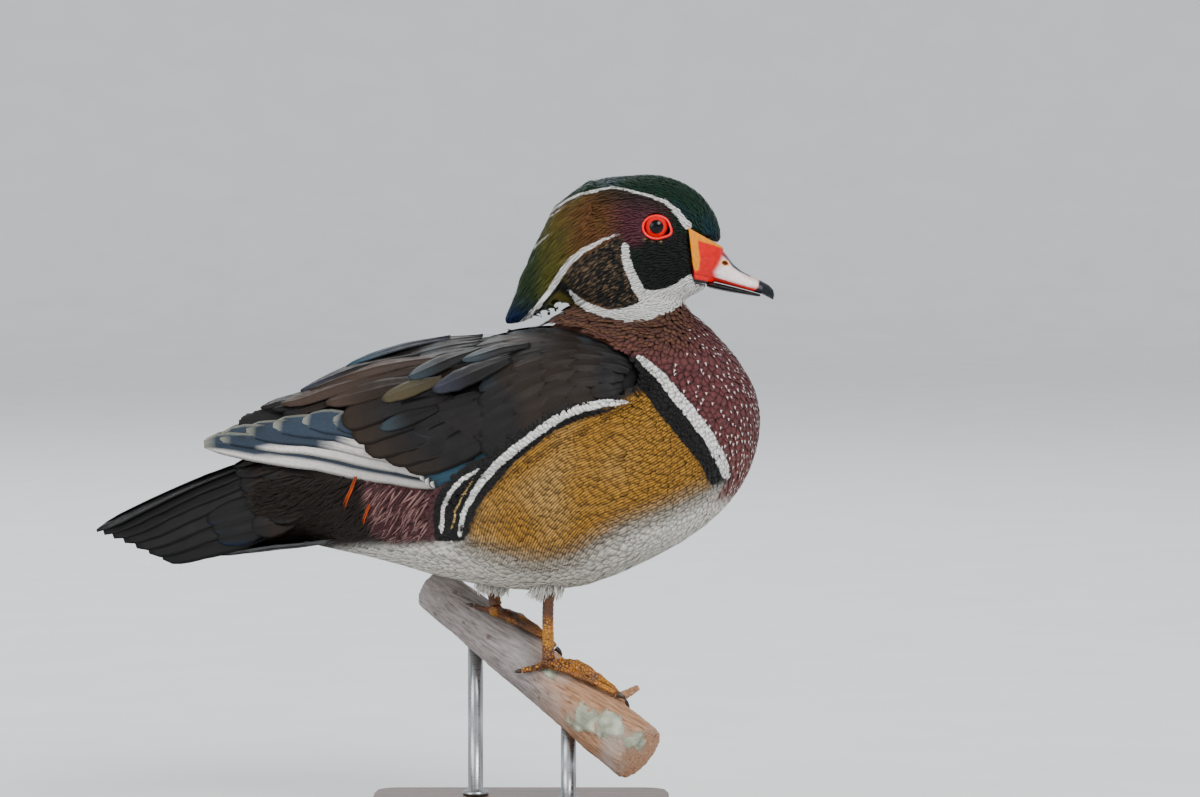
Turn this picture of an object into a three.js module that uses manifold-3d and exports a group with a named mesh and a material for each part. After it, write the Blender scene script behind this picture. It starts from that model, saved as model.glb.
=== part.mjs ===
// A drake wood duck at life size, perched on a cut length of branch over a plain display stand.
// Millimetres. The bird faces +X, its left side is +Y, up is +Z, and the base rests on Z = 0.
import * as THREE from 'three';
import { mergeVertices } from 'three/addons/utils/BufferGeometryUtils.js';
import Module from 'manifold-3d';

const wasm = await Module();
wasm.setup();

// Gaps and finish
const GAP = 0.32;
const VANE_GROW = 0.5;

// Torso stations, rump to breast: x, top, bottom, half width
const TORSO = [
  [-121, 176, 172, 3],
  [-117, 191, 158, 15],
  [-108, 202, 149, 23],
  [-92, 211, 145, 30],
  [-70, 226, 140, 39],
  [-45, 242, 132.5, 49],
  [-18, 251.5, 127, 58],
  [10, 256, 124, 62],
  [38, 256.5, 128, 60.5],
  [62, 255, 138, 56.5],
  [84, 252, 149.5, 50.5],
  [101, 248, 162, 43],
  [112.5, 243, 175, 34],
  [119.8, 234.5, 188, 24.5],
  [123.6, 224, 201, 13.5],
  [124.9, 214.5, 211.5, 2.5],
];
const TORSO_POWER = 2.25;

// Neck stations, bottom to top: z, rear x, front x, half width
const NECK = [
  [226, -4, 110, 30],
  [236, -14, 118, 43.5],
  [245, -15, 113.6, 46],
  [252, -9, 107.4, 43],
  [258, 7, 102.2, 37],
  [263, 15, 97.4, 29.5],
  [267, 21, 93, 23],
  [271, 26, 88.6, 18],
  [276, 31, 83.5, 14.5],
  [284, 38, 77, 10],
];

// Skull stations, nape to forehead: x, top, bottom, half width
const HEAD = [
  [12, 307, 292, 4],
  [14.5, 314, 284, 9],
  [20, 322, 277.5, 13],
  [29, 330.5, 271.5, 16],
  [40, 336.8, 267.8, 17.6],
  [52, 340.2, 266, 18.4],
  [64, 341.5, 268, 18.2],
  [76, 340.6, 272, 17.2],
  [87, 336, 276.5, 15.2],
  [95.5, 329.5, 281, 12.6],
  [101.3, 321, 285.5, 9.6],
  [104.2, 312.5, 291, 6],
  [105, 303.5, 300, 1.5],
];
const HEAD_POWER = 2.15;
const CHEEK_LEVEL = 0.36;

// Eye and lids
const EYE = { x: 70.7, z: 314.1, radius: 6.9, bulge: 2.5, lidLong: 7, lidTall: 6.1, lidThick: 1.1 };

// Bill stations along its length: x, top of upper, line of mouth, bottom of lower, half width
const BILL = [
  [84, 308, 288.8, 286, 7.5],
  [92, 306.5, 287.2, 283.6, 8.4],
  [99, 305, 285.6, 281.7, 8.8],
  [104.9, 302.6, 284.2, 280.4, 8.6],
  [109, 296.6, 283.2, 279.6, 8.2],
  [113, 292.2, 282.2, 279, 7.8],
  [119, 288.5, 280.6, 278, 7.4],
  [125, 285.9, 278.9, 277.2, 6.6],
  [129.2, 283.6, 276.9, 276.4, 4.9],
  [131.6, 281.1, 275.6, 275.6, 2.6],
];
const BILL_TIP = [132.3, 278.4];
const BILL_OVERHANG = 0.7;
const BILL_HORN = {
  apex: [87.2, 313.6], gape: [90.6, 285.6], chin: [99, 283.5], front: [107.5, 291], top: [105.6, 303],
};
const NOSTRIL = { x: 106.3, z: 295.2, long: 2.1, tall: 1, depth: 1.5 };

// Crest: outer edge and inner edge in side view, with the half thickness between them
const CREST = [
  [70, 339.5, 62, 318, 15.5],
  [47, 338, 50, 300, 15.6],
  [28, 331.2, 42, 286, 14.4],
  [13.4, 316, 33, 277.8, 12.2],
  [5.2, 296, 23.5, 272.8, 9.6],
  [-1.8, 279, 11, 267.6, 6.8],
  [-8.2, 262.6, -2.2, 262.2, 3.4],
];
const CREST_SPLIT = { topX: 44, bottomX: 24, topZ: 350, bottomZ: 255 };
const LOCK = { sink: 3.4, thick: 1.1, tilt: 0.8, steps: [0, 0.25, 0.5, 0.78, 1] };

// Wing stations, shoulder to tip: x, upper edge y and z, lower edge y and z, bulge, thickness
const WING = [
  [61, 38, 243, 47, 232, 3, 3],
  [54, 31, 250, 54, 226, 8, 7],
  [40, 21, 256.5, 60, 217, 13, 9],
  [20, 11, 260.2, 63.6, 206, 18, 10],
  [0, 4, 259.8, 64.6, 194, 21, 10],
  [-21, 1.6, 258.2, 61.5, 181, 22.5, 10],
  [-42, 1.3, 255, 53, 177, 20.5, 10],
  [-62, 1.3, 249.5, 43, 181, 16, 9],
  [-82, 1.6, 242.5, 33.5, 185.5, 10.5, 8],
  [-98, 2.2, 234.5, 26.5, 189.8, 8, 6.5],
  [-113, 3, 226.8, 21.5, 193, 6, 5],
  [-128, 3.8, 222.4, 17.5, 195.2, 4.4, 3.6],
  [-141, 4.6, 217.8, 14.6, 198.4, 3, 2.6],
];
const WING_INWARD = new THREE.Vector3(0, -0.75, -0.65);
const WING_LINING = 1.1;
const WING_TIP = new THREE.Vector3(-151, 9, 209);

// Feather rows of the wing: count, first and last place from upper (0) to lower edge (1),
// root and tip x of the first and the last vane, width, thickness, lift at the tip
const WING_ROWS = [
  {
    count: 4, place: [0.14, 0.86], root: [38, 38], tip: [-2, 2],
    width: 24, thick: 0.7, lift: 1.6, camber: 0.9,
  },
  {
    count: 3, place: [0.14, 0.46], root: [0, 0], tip: [-58, -40],
    width: 21, thick: 0.7, lift: 1.8, camber: 0.9,
  },
  {
    count: 3, place: [0.64, 0.92], root: [0, 0], tip: [-72, -40],
    width: 20, thick: 0.7, lift: 2.9, camber: 0.9,
  },
  {
    count: 3, place: [0.74, 0.98], root: [-44, -28], tip: [-96, -56],
    width: 15, thick: 0.7, lift: 1.4, camber: 0,
  },
  {
    count: 4, place: [0.14, 0.5], root: [-50, -50], tip: [-134, -98],
    width: 18, thick: 0.8, lift: 1.6, camber: 0,
  },
];
const PRIMARIES = {
  count: 6, longTip: -165, shortTip: -92, root: -60, width: 16, thick: 0.7, step: 0.95,
  rootOut: 28, rootHeight: 204, tipInner: 8.2, tipHeight: [204.6, 202],
  spread: 0.18, bow: [2.5, -2], facing: [0.2, 0.9, 0.35],
};

// Tail stations of its core, root to end: x, top, bottom, half width
const TAIL_CORE = [
  [-99, 203, 152, 20],
  [-106, 203, 149.5, 24],
  [-118, 200, 148, 25],
  [-130, 194, 147, 24],
  [-143, 187.5, 146.5, 21.5],
  [-156, 180, 147, 17.5],
  [-167, 172.5, 149, 12],
  [-174, 165, 153, 5],
];
// The tail's feathers lie round half a roof, from its ridge (0) down to its lower side edge (1)
const TAIL_ROOF = {
  root: { x: -127, sweep: 5, y: 21, low: 151, rise: 45.5 },
  tip: { x: -220.5, sweep: 42, y: 19, middle: 2.5, low: 141.6, rise: 13.4 },
  bulge: 2,
};
// Rows of the tail: count a side, first and last place on the roof, run at root and tip, width, lift
const TAIL_ROWS = [
  { count: 6, place: [0.07, 0.97], run: [0.02, 1], width: 14.5, lift: [0.6, 0.6], tilt: 0.75 },
  { count: 4, place: [0.12, 0.86], run: [-0.08, 0.3], width: 17, lift: [2.6, 2.6], tilt: 0.6 },
];
const UNDER_COVERTS = [
  { count: 3, half: 13, root: [-116, 150], tip: [-156, 141.8], width: 16 },
  { count: 2, half: 6, root: [-132, 149], tip: [-189, 142.8], width: 15 },
];
const TAIL_THICK = 0.7;
const UNDER_THICK = 0.8;
const UNDER_STEP = 1.2;

// Perch: a tapering branch through one point, falling towards the bird's front right
const BRANCH = {
  y: 9, z: 88.4, yaw: -35, slope: 31.1, back: -66, front: 88, radius: 14.6, taper: 0.016,
  sides: 16, steps: 12, wave: 0.5, stubAt: 60, stubLength: 11, stubRadius: 2.6,
};

// Legs: the shank from inside the belly to the foot
const SHANK = { thick: 4.3, wide: 3.8, ankleHeight: 6.4, thighRadius: 10.5, thighDrop: 1.5 };
const FEET = {
  right: { along: 23.4, around: 42, top: [16, -20, 140], side: -1, turn: -33, scale: 1 },
  left: { along: -21.5, around: 27, top: [-17, 15, 141], side: 1, turn: 33, scale: 0.86 },
};
// Toes on the unrolled bark: forward and sideways (outwards) reach, and the radii at root and tip
const TOES = {
  inner: { reach: [[0, 0], [10.5, -3.2], [21, -6.6], [31, -10]], root: 3, tip: 1.9 },
  middle: { reach: [[0, 0], [14, 0.4], [28, 0.2], [41.5, -0.5]], root: 3.2, tip: 2 },
  outer: { reach: [[0, 0], [12.5, 3.8], [25, 7.4], [36.5, 10.5]], root: 3, tip: 1.9 },
  hind: { reach: [[0, 0], [-5, 1.5], [-9.5, 2.5], [-13.5, 3]], root: 2.4, tip: 1.6 },
};
const FOOT_PAD = { radius: 4, height: 4.1 };
const CLAW = { length: 6.4, radius: 1.55, drop: 2.2 };

// Stand
const STAND = {
  long: 156, deep: 124, tall: 14, corner: 14, bevel: 1.6, rod: 4,
  rods: { front: 36, back: -34 },
};

const finish = {
  breast: new THREE.MeshStandardMaterial({ color: 0x5a3030, roughness: 0.7 }),
  crown: new THREE.MeshStandardMaterial({ color: 0x1f3326, roughness: 0.45 }),
  wing: new THREE.MeshStandardMaterial({ color: 0x17202a, roughness: 0.5 }),
  tail: new THREE.MeshStandardMaterial({ color: 0x0f1012, roughness: 0.5 }),
  bill: new THREE.MeshStandardMaterial({ color: 0xd8453f, roughness: 0.35 }),
  chin: new THREE.MeshStandardMaterial({ color: 0x1c2026, roughness: 0.4 }),
  eye: new THREE.MeshStandardMaterial({ color: 0xd8321f, roughness: 0.08 }),
  leg: new THREE.MeshStandardMaterial({ color: 0xd08f1c, roughness: 0.5 }),
  claw: new THREE.MeshStandardMaterial({ color: 0x1a1714, roughness: 0.4 }),
  bark: new THREE.MeshStandardMaterial({ color: 0xa98873, roughness: 0.9 }),
  base: new THREE.MeshStandardMaterial({ color: 0x3b2a20, roughness: 0.4 }),
  rod: new THREE.MeshStandardMaterial({ color: 0x9a9c9e, roughness: 0.3, metalness: 1 }),
};

const mix = (a, b, t) => a + (b - a) * t;
const vec = (x, y, z) => new THREE.Vector3(x, y, z);

// One row of a station table at a fractional place, on a smooth curve through the rows
function rowAt(rows, place) {
  const last = rows.length - 1;
  const at = Math.min(Math.max(place, 0), last);
  const i = Math.min(Math.floor(at), last - 1);
  const t = at - i;
  return rows[0].map((_, column) => {
    const p1 = rows[i][column];
    const p2 = rows[i + 1][column];
    const p0 = i > 0 ? rows[i - 1][column] : 2 * p1 - p2;
    const p3 = i + 2 <= last ? rows[i + 2][column] : 2 * p2 - p1;
    const bend = (2 * p0 - 5 * p1 + 4 * p2 - p3) * t * t + (3 * p1 - p0 - 3 * p2 + p3) * t * t * t;
    return 0.5 * (2 * p1 + (p2 - p0) * t + bend);
  });
}

// The fractional place at which a table's first column, which rises or falls, has a value
function placeOf(rows, value) {
  let low = 0;
  let high = rows.length - 1;
  const falls = rows[0][0] > rows[high][0];
  for (let i = 0; i < 40; i += 1) {
    const middle = (low + high) / 2;
    const before = falls ? rowAt(rows, middle)[0] > value : rowAt(rows, middle)[0] < value;
    if (before) low = middle;
    else high = middle;
  }
  return (low + high) / 2;
}

function manySteps(rows, count) {
  return Array.from({ length: count + 1 }, (_, i) => rowAt(rows, (i / count) * (rows.length - 1)));
}

function volumeOf(positions, index) {
  let sum = 0;
  for (let i = 0; i < index.length; i += 3) {
    const [a, b, c] = [0, 1, 2].map((k) => vec(...positions.slice(index[i + k] * 3, index[i + k] * 3 + 3)));
    sum += a.dot(b.cross(c));
  }
  return sum / 6;
}

// A geometry of points and triangles with its faces pointing out
function shellOf(points, index) {
  const positions = points.flatMap((p) => [p.x, p.y, p.z]);
  if (volumeOf(positions, index) < 0) {
    for (let i = 0; i < index.length; i += 3) [index[i], index[i + 1]] = [index[i + 1], index[i]];
  }
  const geometry = new THREE.BufferGeometry();
  geometry.setAttribute('position', new THREE.Float32BufferAttribute(positions, 3));
  geometry.setIndex(index);
  return geometry;
}

// A closed skin through rings of points, with a point at each end
function loft(rings, startTip, endTip) {
  const sides = rings[0].length;
  const points = [...rings.flat(), startTip, endTip];
  const index = [];
  for (let r = 0; r + 1 < rings.length; r += 1) {
    for (let i = 0; i < sides; i += 1) {
      const a = r * sides + i;
      const b = r * sides + ((i + 1) % sides);
      index.push(a, b, b + sides, a, b + sides, a + sides);
    }
  }
  const start = rings.length * sides;
  const lastRing = start - sides;
  for (let i = 0; i < sides; i += 1) {
    const next = (i + 1) % sides;
    index.push(start, next, i);
    index.push(start + 1, lastRing + i, lastRing + next);
  }
  return shellOf(points, index);
}

function ring(center, across, up, half, high, low, power, sides) {
  return Array.from({ length: sides }, (_, i) => {
    const angle = (i / sides) * 2 * Math.PI;
    const side = Math.sign(Math.cos(angle)) * Math.abs(Math.cos(angle)) ** (2 / power) * half;
    const lift = Math.sign(Math.sin(angle)) * Math.abs(Math.sin(angle)) ** (2 / power);
    return center.clone().addScaledVector(across, side).addScaledVector(up, lift * (lift > 0 ? high : low));
  });
}

const meanOf = (points) => points.reduce((sum, p) => sum.add(p), vec(0, 0, 0)).divideScalar(points.length);

// A body of upright rings along X from rows of x, top, bottom, half width
function alongX(rows, steps, sides, power, belly = 0.5) {
  const rings = manySteps(rows, steps).map(([x, top, bottom, half]) => {
    const middle = mix(bottom, top, belly);
    const center = vec(x, 0, middle);
    return ring(center, vec(0, 1, 0), vec(0, 0, 1), half, top - middle, middle - bottom, power, sides);
  });
  return loft(rings, meanOf(rings[0]), meanOf(rings.at(-1)));
}

// A closed thin vane from rows of points on its two faces, both split into triangles alike
function plate(topRows, underRows) {
  const wide = topRows[0].length;
  const rows = topRows.length;
  const under = rows * wide;
  const index = [];
  for (let r = 0; r + 1 < rows; r += 1) {
    for (let i = 0; i + 1 < wide; i += 1) {
      const a = r * wide + i;
      const far = a + wide;
      index.push(a, a + 1, far + 1, a, far + 1, far);
      index.push(under + a, under + far + 1, under + a + 1, under + a, under + far, under + far + 1);
    }
    const left = r * wide;
    const right = left + wide - 1;
    index.push(left, left + wide, under + left + wide, left, under + left + wide, under + left);
    index.push(right, under + right + wide, right + wide, right, under + right, under + right + wide);
  }
  for (let i = 0; i + 1 < wide; i += 1) {
    const end = (rows - 1) * wide + i;
    index.push(i, under + i + 1, i + 1, i, under + i, under + i + 1);
    index.push(end, end + 1, under + end + 1, end, under + end + 1, under + end);
  }
  return shellOf([...topRows.flat(), ...underRows.flat()], index);
}

const VANE_STEPS = [0, 0.38, 0.76, 1];
const OUTLINES = {
  round: (t) => {
    const widening = mix(0.55, 1, Math.min(t / 0.4, 1));
    return widening * Math.sqrt(Math.max(1 - (Math.max(t - 0.62, 0) / 0.4) ** 2, 0.04));
  },
  lock: (t) => mix(0.7, 1, Math.min(t / 0.3, 1)) * (1 - 0.86 * Math.max(t - 0.3, 0) / 0.7),
};

// A vane whose middle line and side direction come from two functions of t, 0 at its root, 1 at its tip
function vane({
  middle, across, normal, width, thick, outline = 'round', camber = 0, tilt = 0, steps = VANE_STEPS,
}) {
  const lanes = camber ? [-1, 0, 1] : [-1, 1];
  const face = (offset) => steps.map((t) => {
    const half = (width / 2) * OUTLINES[outline](t);
    return lanes.map((lane) => middle(t)
      .addScaledVector(across(t), lane * half)
      .addScaledVector(normal(t), offset * mix(1, 0.6, t) - Math.abs(lane) * camber + lane * tilt));
  });
  return plate(face(thick / 2), face(-thick / 2));
}

// A vane that lies on a surface given by place (0 to 1 across) and run (0 to 1 along)
function vaneOn(surface, { from, to, sink, lift, ...shape }) {
  const STEP = 0.004;
  const at = (t) => [mix(from[0], to[0], t), mix(from[1], to[1], t)];
  const frame = (t) => {
    const [u, v] = at(t);
    const along = surface(mix(from[0], to[0], t + STEP), mix(from[1], to[1], t + STEP))
      .sub(surface(mix(from[0], to[0], t - STEP), mix(from[1], to[1], t - STEP))).normalize();
    const side = surface(u + STEP, v).sub(surface(u - STEP, v));
    side.addScaledVector(along, -side.dot(along)).normalize();
    return { along, side, normal: side.clone().cross(along) };
  };
  const height = (t) => mix(-sink, lift, Math.min(t / 0.38, 1));
  return vane({
    ...shape,
    middle: (t) => surface(...at(t)).addScaledVector(frame(t).normal, height(t)),
    across: (t) => frame(t).side,
    normal: (t) => frame(t).normal,
  });
}

function tube(points, radii, sides, flat = 1, up = vec(0, 0, 1)) {
  const rings = points.map((p, i) => {
    const ahead = points[Math.min(i + 1, points.length - 1)];
    const along = ahead.clone().sub(points[Math.max(i - 1, 0)]).normalize();
    const across = along.clone().cross(typeof up === 'function' ? up(i) : up).normalize();
    const rise = across.clone().cross(along).normalize();
    return ring(p, across, rise, radii[i], radii[i] * flat, radii[i] * flat, 2, sides);
  });
  return loft(rings, points[0].clone(), points.at(-1).clone());
}

function curveThrough(points, count) {
  return new THREE.CatmullRomCurve3(points).getPoints(count);
}

function mirrored(geometry) {
  const copy = geometry.clone();
  copy.scale(1, -1, 1);
  const index = copy.index.array;
  for (let i = 0; i < index.length; i += 3) [index[i], index[i + 1]] = [index[i + 1], index[i]];
  return copy;
}

// The same geometry with its positions alone, and like corners merged
function bare(geometry) {
  const copy = geometry.clone();
  const extras = Object.keys(copy.attributes).filter((key) => key !== 'position');
  extras.forEach((key) => copy.deleteAttribute(key));
  return mergeVertices(copy, 1e-4);
}

// The same geometry grown outwards along its corner directions
function grown(geometry, distance) {
  const copy = bare(geometry);
  copy.computeVertexNormals();
  const { position, normal } = copy.attributes;
  for (let i = 0; i < position.count; i += 1) {
    const p = vec().fromBufferAttribute(position, i);
    p.addScaledVector(vec().fromBufferAttribute(normal, i), distance);
    position.setXYZ(i, p.x, p.y, p.z);
  }
  copy.deleteAttribute('normal');
  return copy;
}

function solid(geometry) {
  const merged = bare(geometry);
  return new wasm.Manifold(new wasm.Mesh({
    numProp: 3,
    vertProperties: new Float32Array(merged.attributes.position.array),
    triVerts: new Uint32Array(merged.index.array),
  }));
}

const joined = (geometries) => geometries.map(solid).reduce((sum, next) => sum.add(next));
const grownSolid = (geometries, distance = GAP) => joined(geometries.map((g) => grown(g, distance)));

function largest(manifold) {
  return manifold.decompose().reduce((best, next) => (next.volume() > best.volume() ? next : best));
}

const group = new THREE.Group();

function geometryOf(manifold) {
  const { vertProperties, triVerts } = manifold.getMesh();
  const geometry = new THREE.BufferGeometry();
  geometry.setAttribute('position', new THREE.Float32BufferAttribute(vertProperties, 3));
  geometry.setIndex(Array.from(triVerts));
  return geometry;
}

function node(name, manifold, material) {
  const geometry = geometryOf(largest(manifold));
  geometry.computeVertexNormals();
  const mesh = new THREE.Mesh(geometry, material);
  mesh.name = name;
  group.add(mesh);
}

// Neck: level rings from the shoulders up into the head
function neckShape() {
  const rings = manySteps(NECK, 8).map(([z, rear, front, half]) => ring(
    vec((rear + front) / 2, 0, z), vec(0, 1, 0), vec(1, 0, 0),
    half, (front - rear) / 2, (front - rear) / 2, 2.1, 20,
  ));
  return loft(rings, meanOf(rings[0]), meanOf(rings.at(-1)));
}

function eyeCenter(side) {
  const [, top, bottom, half] = rowAt(HEAD, placeOf(HEAD, EYE.x));
  const middle = mix(bottom, top, CHEEK_LEVEL);
  const level = (EYE.z - middle) / (top - middle);
  const face = half * (1 - level ** HEAD_POWER) ** (1 / HEAD_POWER);
  return vec(EYE.x, side * (face + EYE.bulge - EYE.radius), EYE.z);
}

// A ring round the eye, drawn out to a point at its front corner
function lids(side) {
  const center = eyeCenter(side);
  const COUNT = 14;
  const points = Array.from({ length: COUNT }, (_, i) => {
    const angle = (i / COUNT) * 2 * Math.PI;
    const corner = Math.max(Math.cos(angle + 0.25), 0) ** 6 * 1.5;
    const across = Math.cos(angle) * (EYE.lidLong + corner);
    const rise = Math.sin(angle) * EYE.lidTall - corner * 0.5;
    const slant = (rise > 0 ? 0.16 : 0.02) * rise;
    return center.clone().add(vec(across, side * (EYE.radius - EYE.bulge + 0.2 - slant), rise));
  });
  const SIDES = 5;
  const index = [];
  const rings = points.flatMap((p, i) => {
    const along = points[(i + 1) % COUNT].clone().sub(points[(i + COUNT - 1) % COUNT]).normalize();
    const out = vec(0, side, 0);
    const across = along.clone().cross(out).normalize();
    return ring(p, across, out, EYE.lidThick, EYE.lidThick, EYE.lidThick * 1.6, 2, SIDES);
  });
  for (let r = 0; r < COUNT; r += 1) {
    for (let i = 0; i < SIDES; i += 1) {
      const a = r * SIDES + i;
      const b = r * SIDES + ((i + 1) % SIDES);
      const c = ((r + 1) % COUNT) * SIDES + i;
      const d = ((r + 1) % COUNT) * SIDES + ((i + 1) % SIDES);
      index.push(a, b, d, a, d, c);
    }
  }
  return shellOf(rings, index);
}

function ball(center, radius, scale = [1, 1, 1], detail = 20) {
  const sphere = new THREE.SphereGeometry(radius, detail, detail / 2);
  sphere.scale(...scale);
  sphere.translate(center.x, center.y, center.z);
  return sphere;
}

// A flat outline in side view, run through the whole width
function sideBlock(outline, half) {
  const shape = new THREE.Shape(outline.map(([x, z]) => new THREE.Vector2(x, z)));
  const block = new THREE.ExtrudeGeometry(shape, { depth: 2 * half, bevelEnabled: false });
  block.rotateX(Math.PI / 2);
  block.translate(0, half, 0);
  return block;
}

function crestCut(shift) {
  const { topX, bottomX, topZ, bottomZ } = CREST_SPLIT;
  return sideBlock([[topX - shift, topZ], [bottomX - shift, bottomZ], [-60, bottomZ], [-60, topZ]], 40);
}

// The crest's mass: turn runs from the back of the crown (0) down a side to its lower edge (1)
function crestSurface(side) {
  return (turn, run) => {
    const [outerX, outerZ, innerX, innerZ, half] = rowAt(CREST, run * (CREST.length - 1));
    const angle = turn * Math.PI;
    const inner = (1 - Math.cos(angle)) / 2;
    return vec(mix(outerX, innerX, inner), side * half * Math.sin(angle), mix(outerZ, innerZ, inner));
  };
}

function crestLocks() {
  const locks = [];
  for (const side of [-1, 1]) {
    const surface = crestSurface(side);
    const add = (turn, from, to, width, lift) => locks.push(vaneOn(surface, {
      from: [turn, from], to: [turn, to], lift, width, tilt: side * LOCK.tilt, outline: 'lock',
      sink: LOCK.sink, thick: LOCK.thick, steps: LOCK.steps,
    }));
    for (const turn of [0.1, 0.34, 0.58, 0.82]) add(turn, 0.24, mix(1, 0.95, turn), 13, 0.5);
    for (const turn of [0.22, 0.46, 0.7]) add(turn, 0.3, 0.84, 11, 1.9);
  }
  return locks;
}

function billShape(upper) {
  const rows = BILL.map(([x, top, mouth, bottom, half]) => (
    upper ? [x, top, mouth, half] : [x, mouth - GAP, bottom, half - BILL_OVERHANG]
  ));
  const shown = upper ? rows : rows.slice(1, -2);
  const rings = manySteps(shown, 10).map(([x, high, low, half]) => {
    const middle = mix(low, high, upper ? 0.28 : 0.72);
    const center = vec(x, 0, middle);
    return ring(center, vec(0, 1, 0), vec(0, 0, 1), half, high - middle, middle - low, 2.4, 12);
  });
  const tip = upper ? vec(BILL_TIP[0], 0, BILL_TIP[1]) : meanOf(rings.at(-1));
  return loft(rings, meanOf(rings[0]), tip);
}

function billHorn(spread) {
  const { apex, gape, chin, front, top } = BILL_HORN;
  const corners = [apex, gape, chin, front, top];
  const [cx, cz] = [0, 1].map((k) => corners.reduce((sum, c) => sum + c[k], 0) / corners.length);
  return sideBlock(corners.map(([x, z]) => {
    const length = Math.hypot(x - cx, z - cz);
    return [x + ((x - cx) / length) * spread, z + ((z - cz) / length) * spread];
  }), 30);
}

// The wing's outer or inner face: place 0 at the back's middle line, 1 at the lower edge
function wingPoint(row, place, depth) {
  const [x, topY, topZ, lowY, lowZ, bulge, thick] = row;
  const swell = (bulge - depth * thick) * Math.sin(Math.PI * place) ** 0.8;
  const out = vec(0, topZ - lowZ, lowY - topY).normalize();
  return vec(x, mix(topY, lowY, place), mix(topZ, lowZ, place)).addScaledVector(out, swell);
}

function wingSurface(place, run) {
  const within = Math.min(Math.max(place, 0.001), 0.999);
  return wingPoint(rowAt(WING, run * (WING.length - 1)), within, 0);
}

function wingCore() {
  const ACROSS = 7;
  const rings = manySteps(WING, 11).map((row) => {
    const outer = Array.from({ length: ACROSS }, (_, i) => wingPoint(row, i / (ACROSS - 1), 0));
    const inner = Array.from({ length: ACROSS }, (_, i) => {
      const point = wingPoint(row, 1 - i / (ACROSS - 1), 1);
      return point.addScaledVector(WING_INWARD, WING_LINING);
    });
    return [...outer, ...inner];
  });
  return loft(rings, meanOf(rings[0]), WING_TIP);
}

const wingRun = (x) => placeOf(WING, x) / (WING.length - 1);

function wingVanes() {
  return WING_ROWS.flatMap(({ count, place, root, tip, width, thick, lift, camber }) => Array.from(
    { length: count },
    (_, i) => {
      const t = i / (count - 1);
      const at = mix(place[0], place[1], t);
      return vaneOn(wingSurface, {
        from: [at, wingRun(mix(root[0], root[1], t))],
        to: [at, wingRun(mix(tip[0], tip[1], t))],
        sink: 1.6, lift, width, thick, tilt: 0.6, camber,
      });
    },
  ));
}

// The folded primaries: long vanes side by side, the longest innermost, past the end of the core
function primaryVanes() {
  const {
    count, longTip, shortTip, root, width, thick, step,
    rootOut, rootHeight, tipInner, tipHeight, spread, bow, facing,
  } = PRIMARIES;
  return Array.from({ length: count }, (_, i) => {
    const t = i / (count - 1);
    const tipX = mix(longTip, shortTip, t);
    const rootPoint = vec(root, rootOut + i * step * 0.6, rootHeight);
    const tipOut = tipInner + i * step + (tipX - longTip) * spread;
    const tipPoint = vec(tipX, tipOut, mix(tipHeight[0], tipHeight[1], t));
    const line = tipPoint.clone().sub(rootPoint);
    const sag = (s) => vec(0, bow[0] * Math.sin(Math.PI * s), bow[1] * Math.sin(Math.PI * s));
    const out = vec(...facing).normalize();
    const along = line.clone().normalize();
    const across = along.clone().cross(out).normalize();
    return vane({
      middle: (s) => rootPoint.clone().addScaledVector(line, s).add(sag(s)),
      across: () => across.clone(), normal: () => out.clone(),
      width, thick, tilt: -0.3,
    });
  });
}

// A point of the tail's roof on one side: place 0 to 1 from ridge to edge, run 0 to 1 from root to tip
function tailRoof(side) {
  const { root, tip, bulge } = TAIL_ROOF;
  return (place, run) => {
    const angle = Math.max(place, 0) * Math.PI / 2;
    const inward = Math.min(place, 0) * 12;
    const from = vec(
      root.x + root.sweep * place,
      inward + root.y * Math.sin(angle),
      root.low + root.rise * Math.cos(angle),
    );
    const end = vec(
      tip.x + tip.sweep * Math.abs(place) ** 1.3,
      inward + tip.middle + tip.y * Math.sin(angle),
      tip.low + tip.rise * Math.cos(angle),
    );
    const height = bulge * Math.sin(Math.PI * Math.max(run, 0));
    const swell = vec(0, Math.sin(angle), Math.cos(angle)).multiplyScalar(height);
    const point = from.lerp(end, run).add(swell);
    point.y *= side;
    return point;
  };
}

function tailRow(side, { count, place, run, width, lift, tilt }) {
  return Array.from({ length: count }, (_, i) => {
    const at = mix(place[0], place[1], i / (count - 1));
    return vaneOn(tailRoof(side), {
      from: [at, run[0]], to: [at, run[1]],
      sink: side * lift[0], lift: -side * lift[1],
      width, thick: TAIL_THICK, tilt: side * tilt,
    });
  });
}

const tailVanes = () => [-1, 1].flatMap((side) => TAIL_ROWS.flatMap((row) => tailRow(side, row)));

function underRow({ count, half, root, tip, width }) {
  return Array.from({ length: count }, (_, i) => {
    const y = mix(-half, half, i / (count - 1));
    const step = (i % 2) * UNDER_STEP;
    const from = vec(root[0], y, root[1]);
    const end = vec(tip[0] - 2 * step, y * 0.8, tip[1] - step);
    const across = vec(0, 1, 0);
    const normal = vec(0, 0, 1);
    return vane({
      middle: (t) => from.clone().lerp(end, t).add(vec(0, 0, -2.5 * Math.sin(Math.PI * t))),
      across: () => across.clone(), normal: () => normal.clone(), width, thick: UNDER_THICK,
    });
  });
}

const underCoverts = () => UNDER_COVERTS.flatMap(underRow);

// The branch: its axis, and a frame to lay things on its bark
const branchAlong = (() => {
  const yaw = THREE.MathUtils.degToRad(BRANCH.yaw);
  const slope = THREE.MathUtils.degToRad(BRANCH.slope);
  return vec(Math.cos(slope) * Math.cos(yaw), Math.cos(slope) * Math.sin(yaw), -Math.sin(slope));
})();
const branchSide = vec(branchAlong.y, -branchAlong.x, 0).normalize();
const branchUp = branchSide.clone().cross(branchAlong).normalize();
const branchRadius = (along) => BRANCH.radius * (1 + BRANCH.taper * along / 10);
const branchAxis = (along) => vec(0, BRANCH.y, BRANCH.z).addScaledVector(branchAlong, along);

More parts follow.
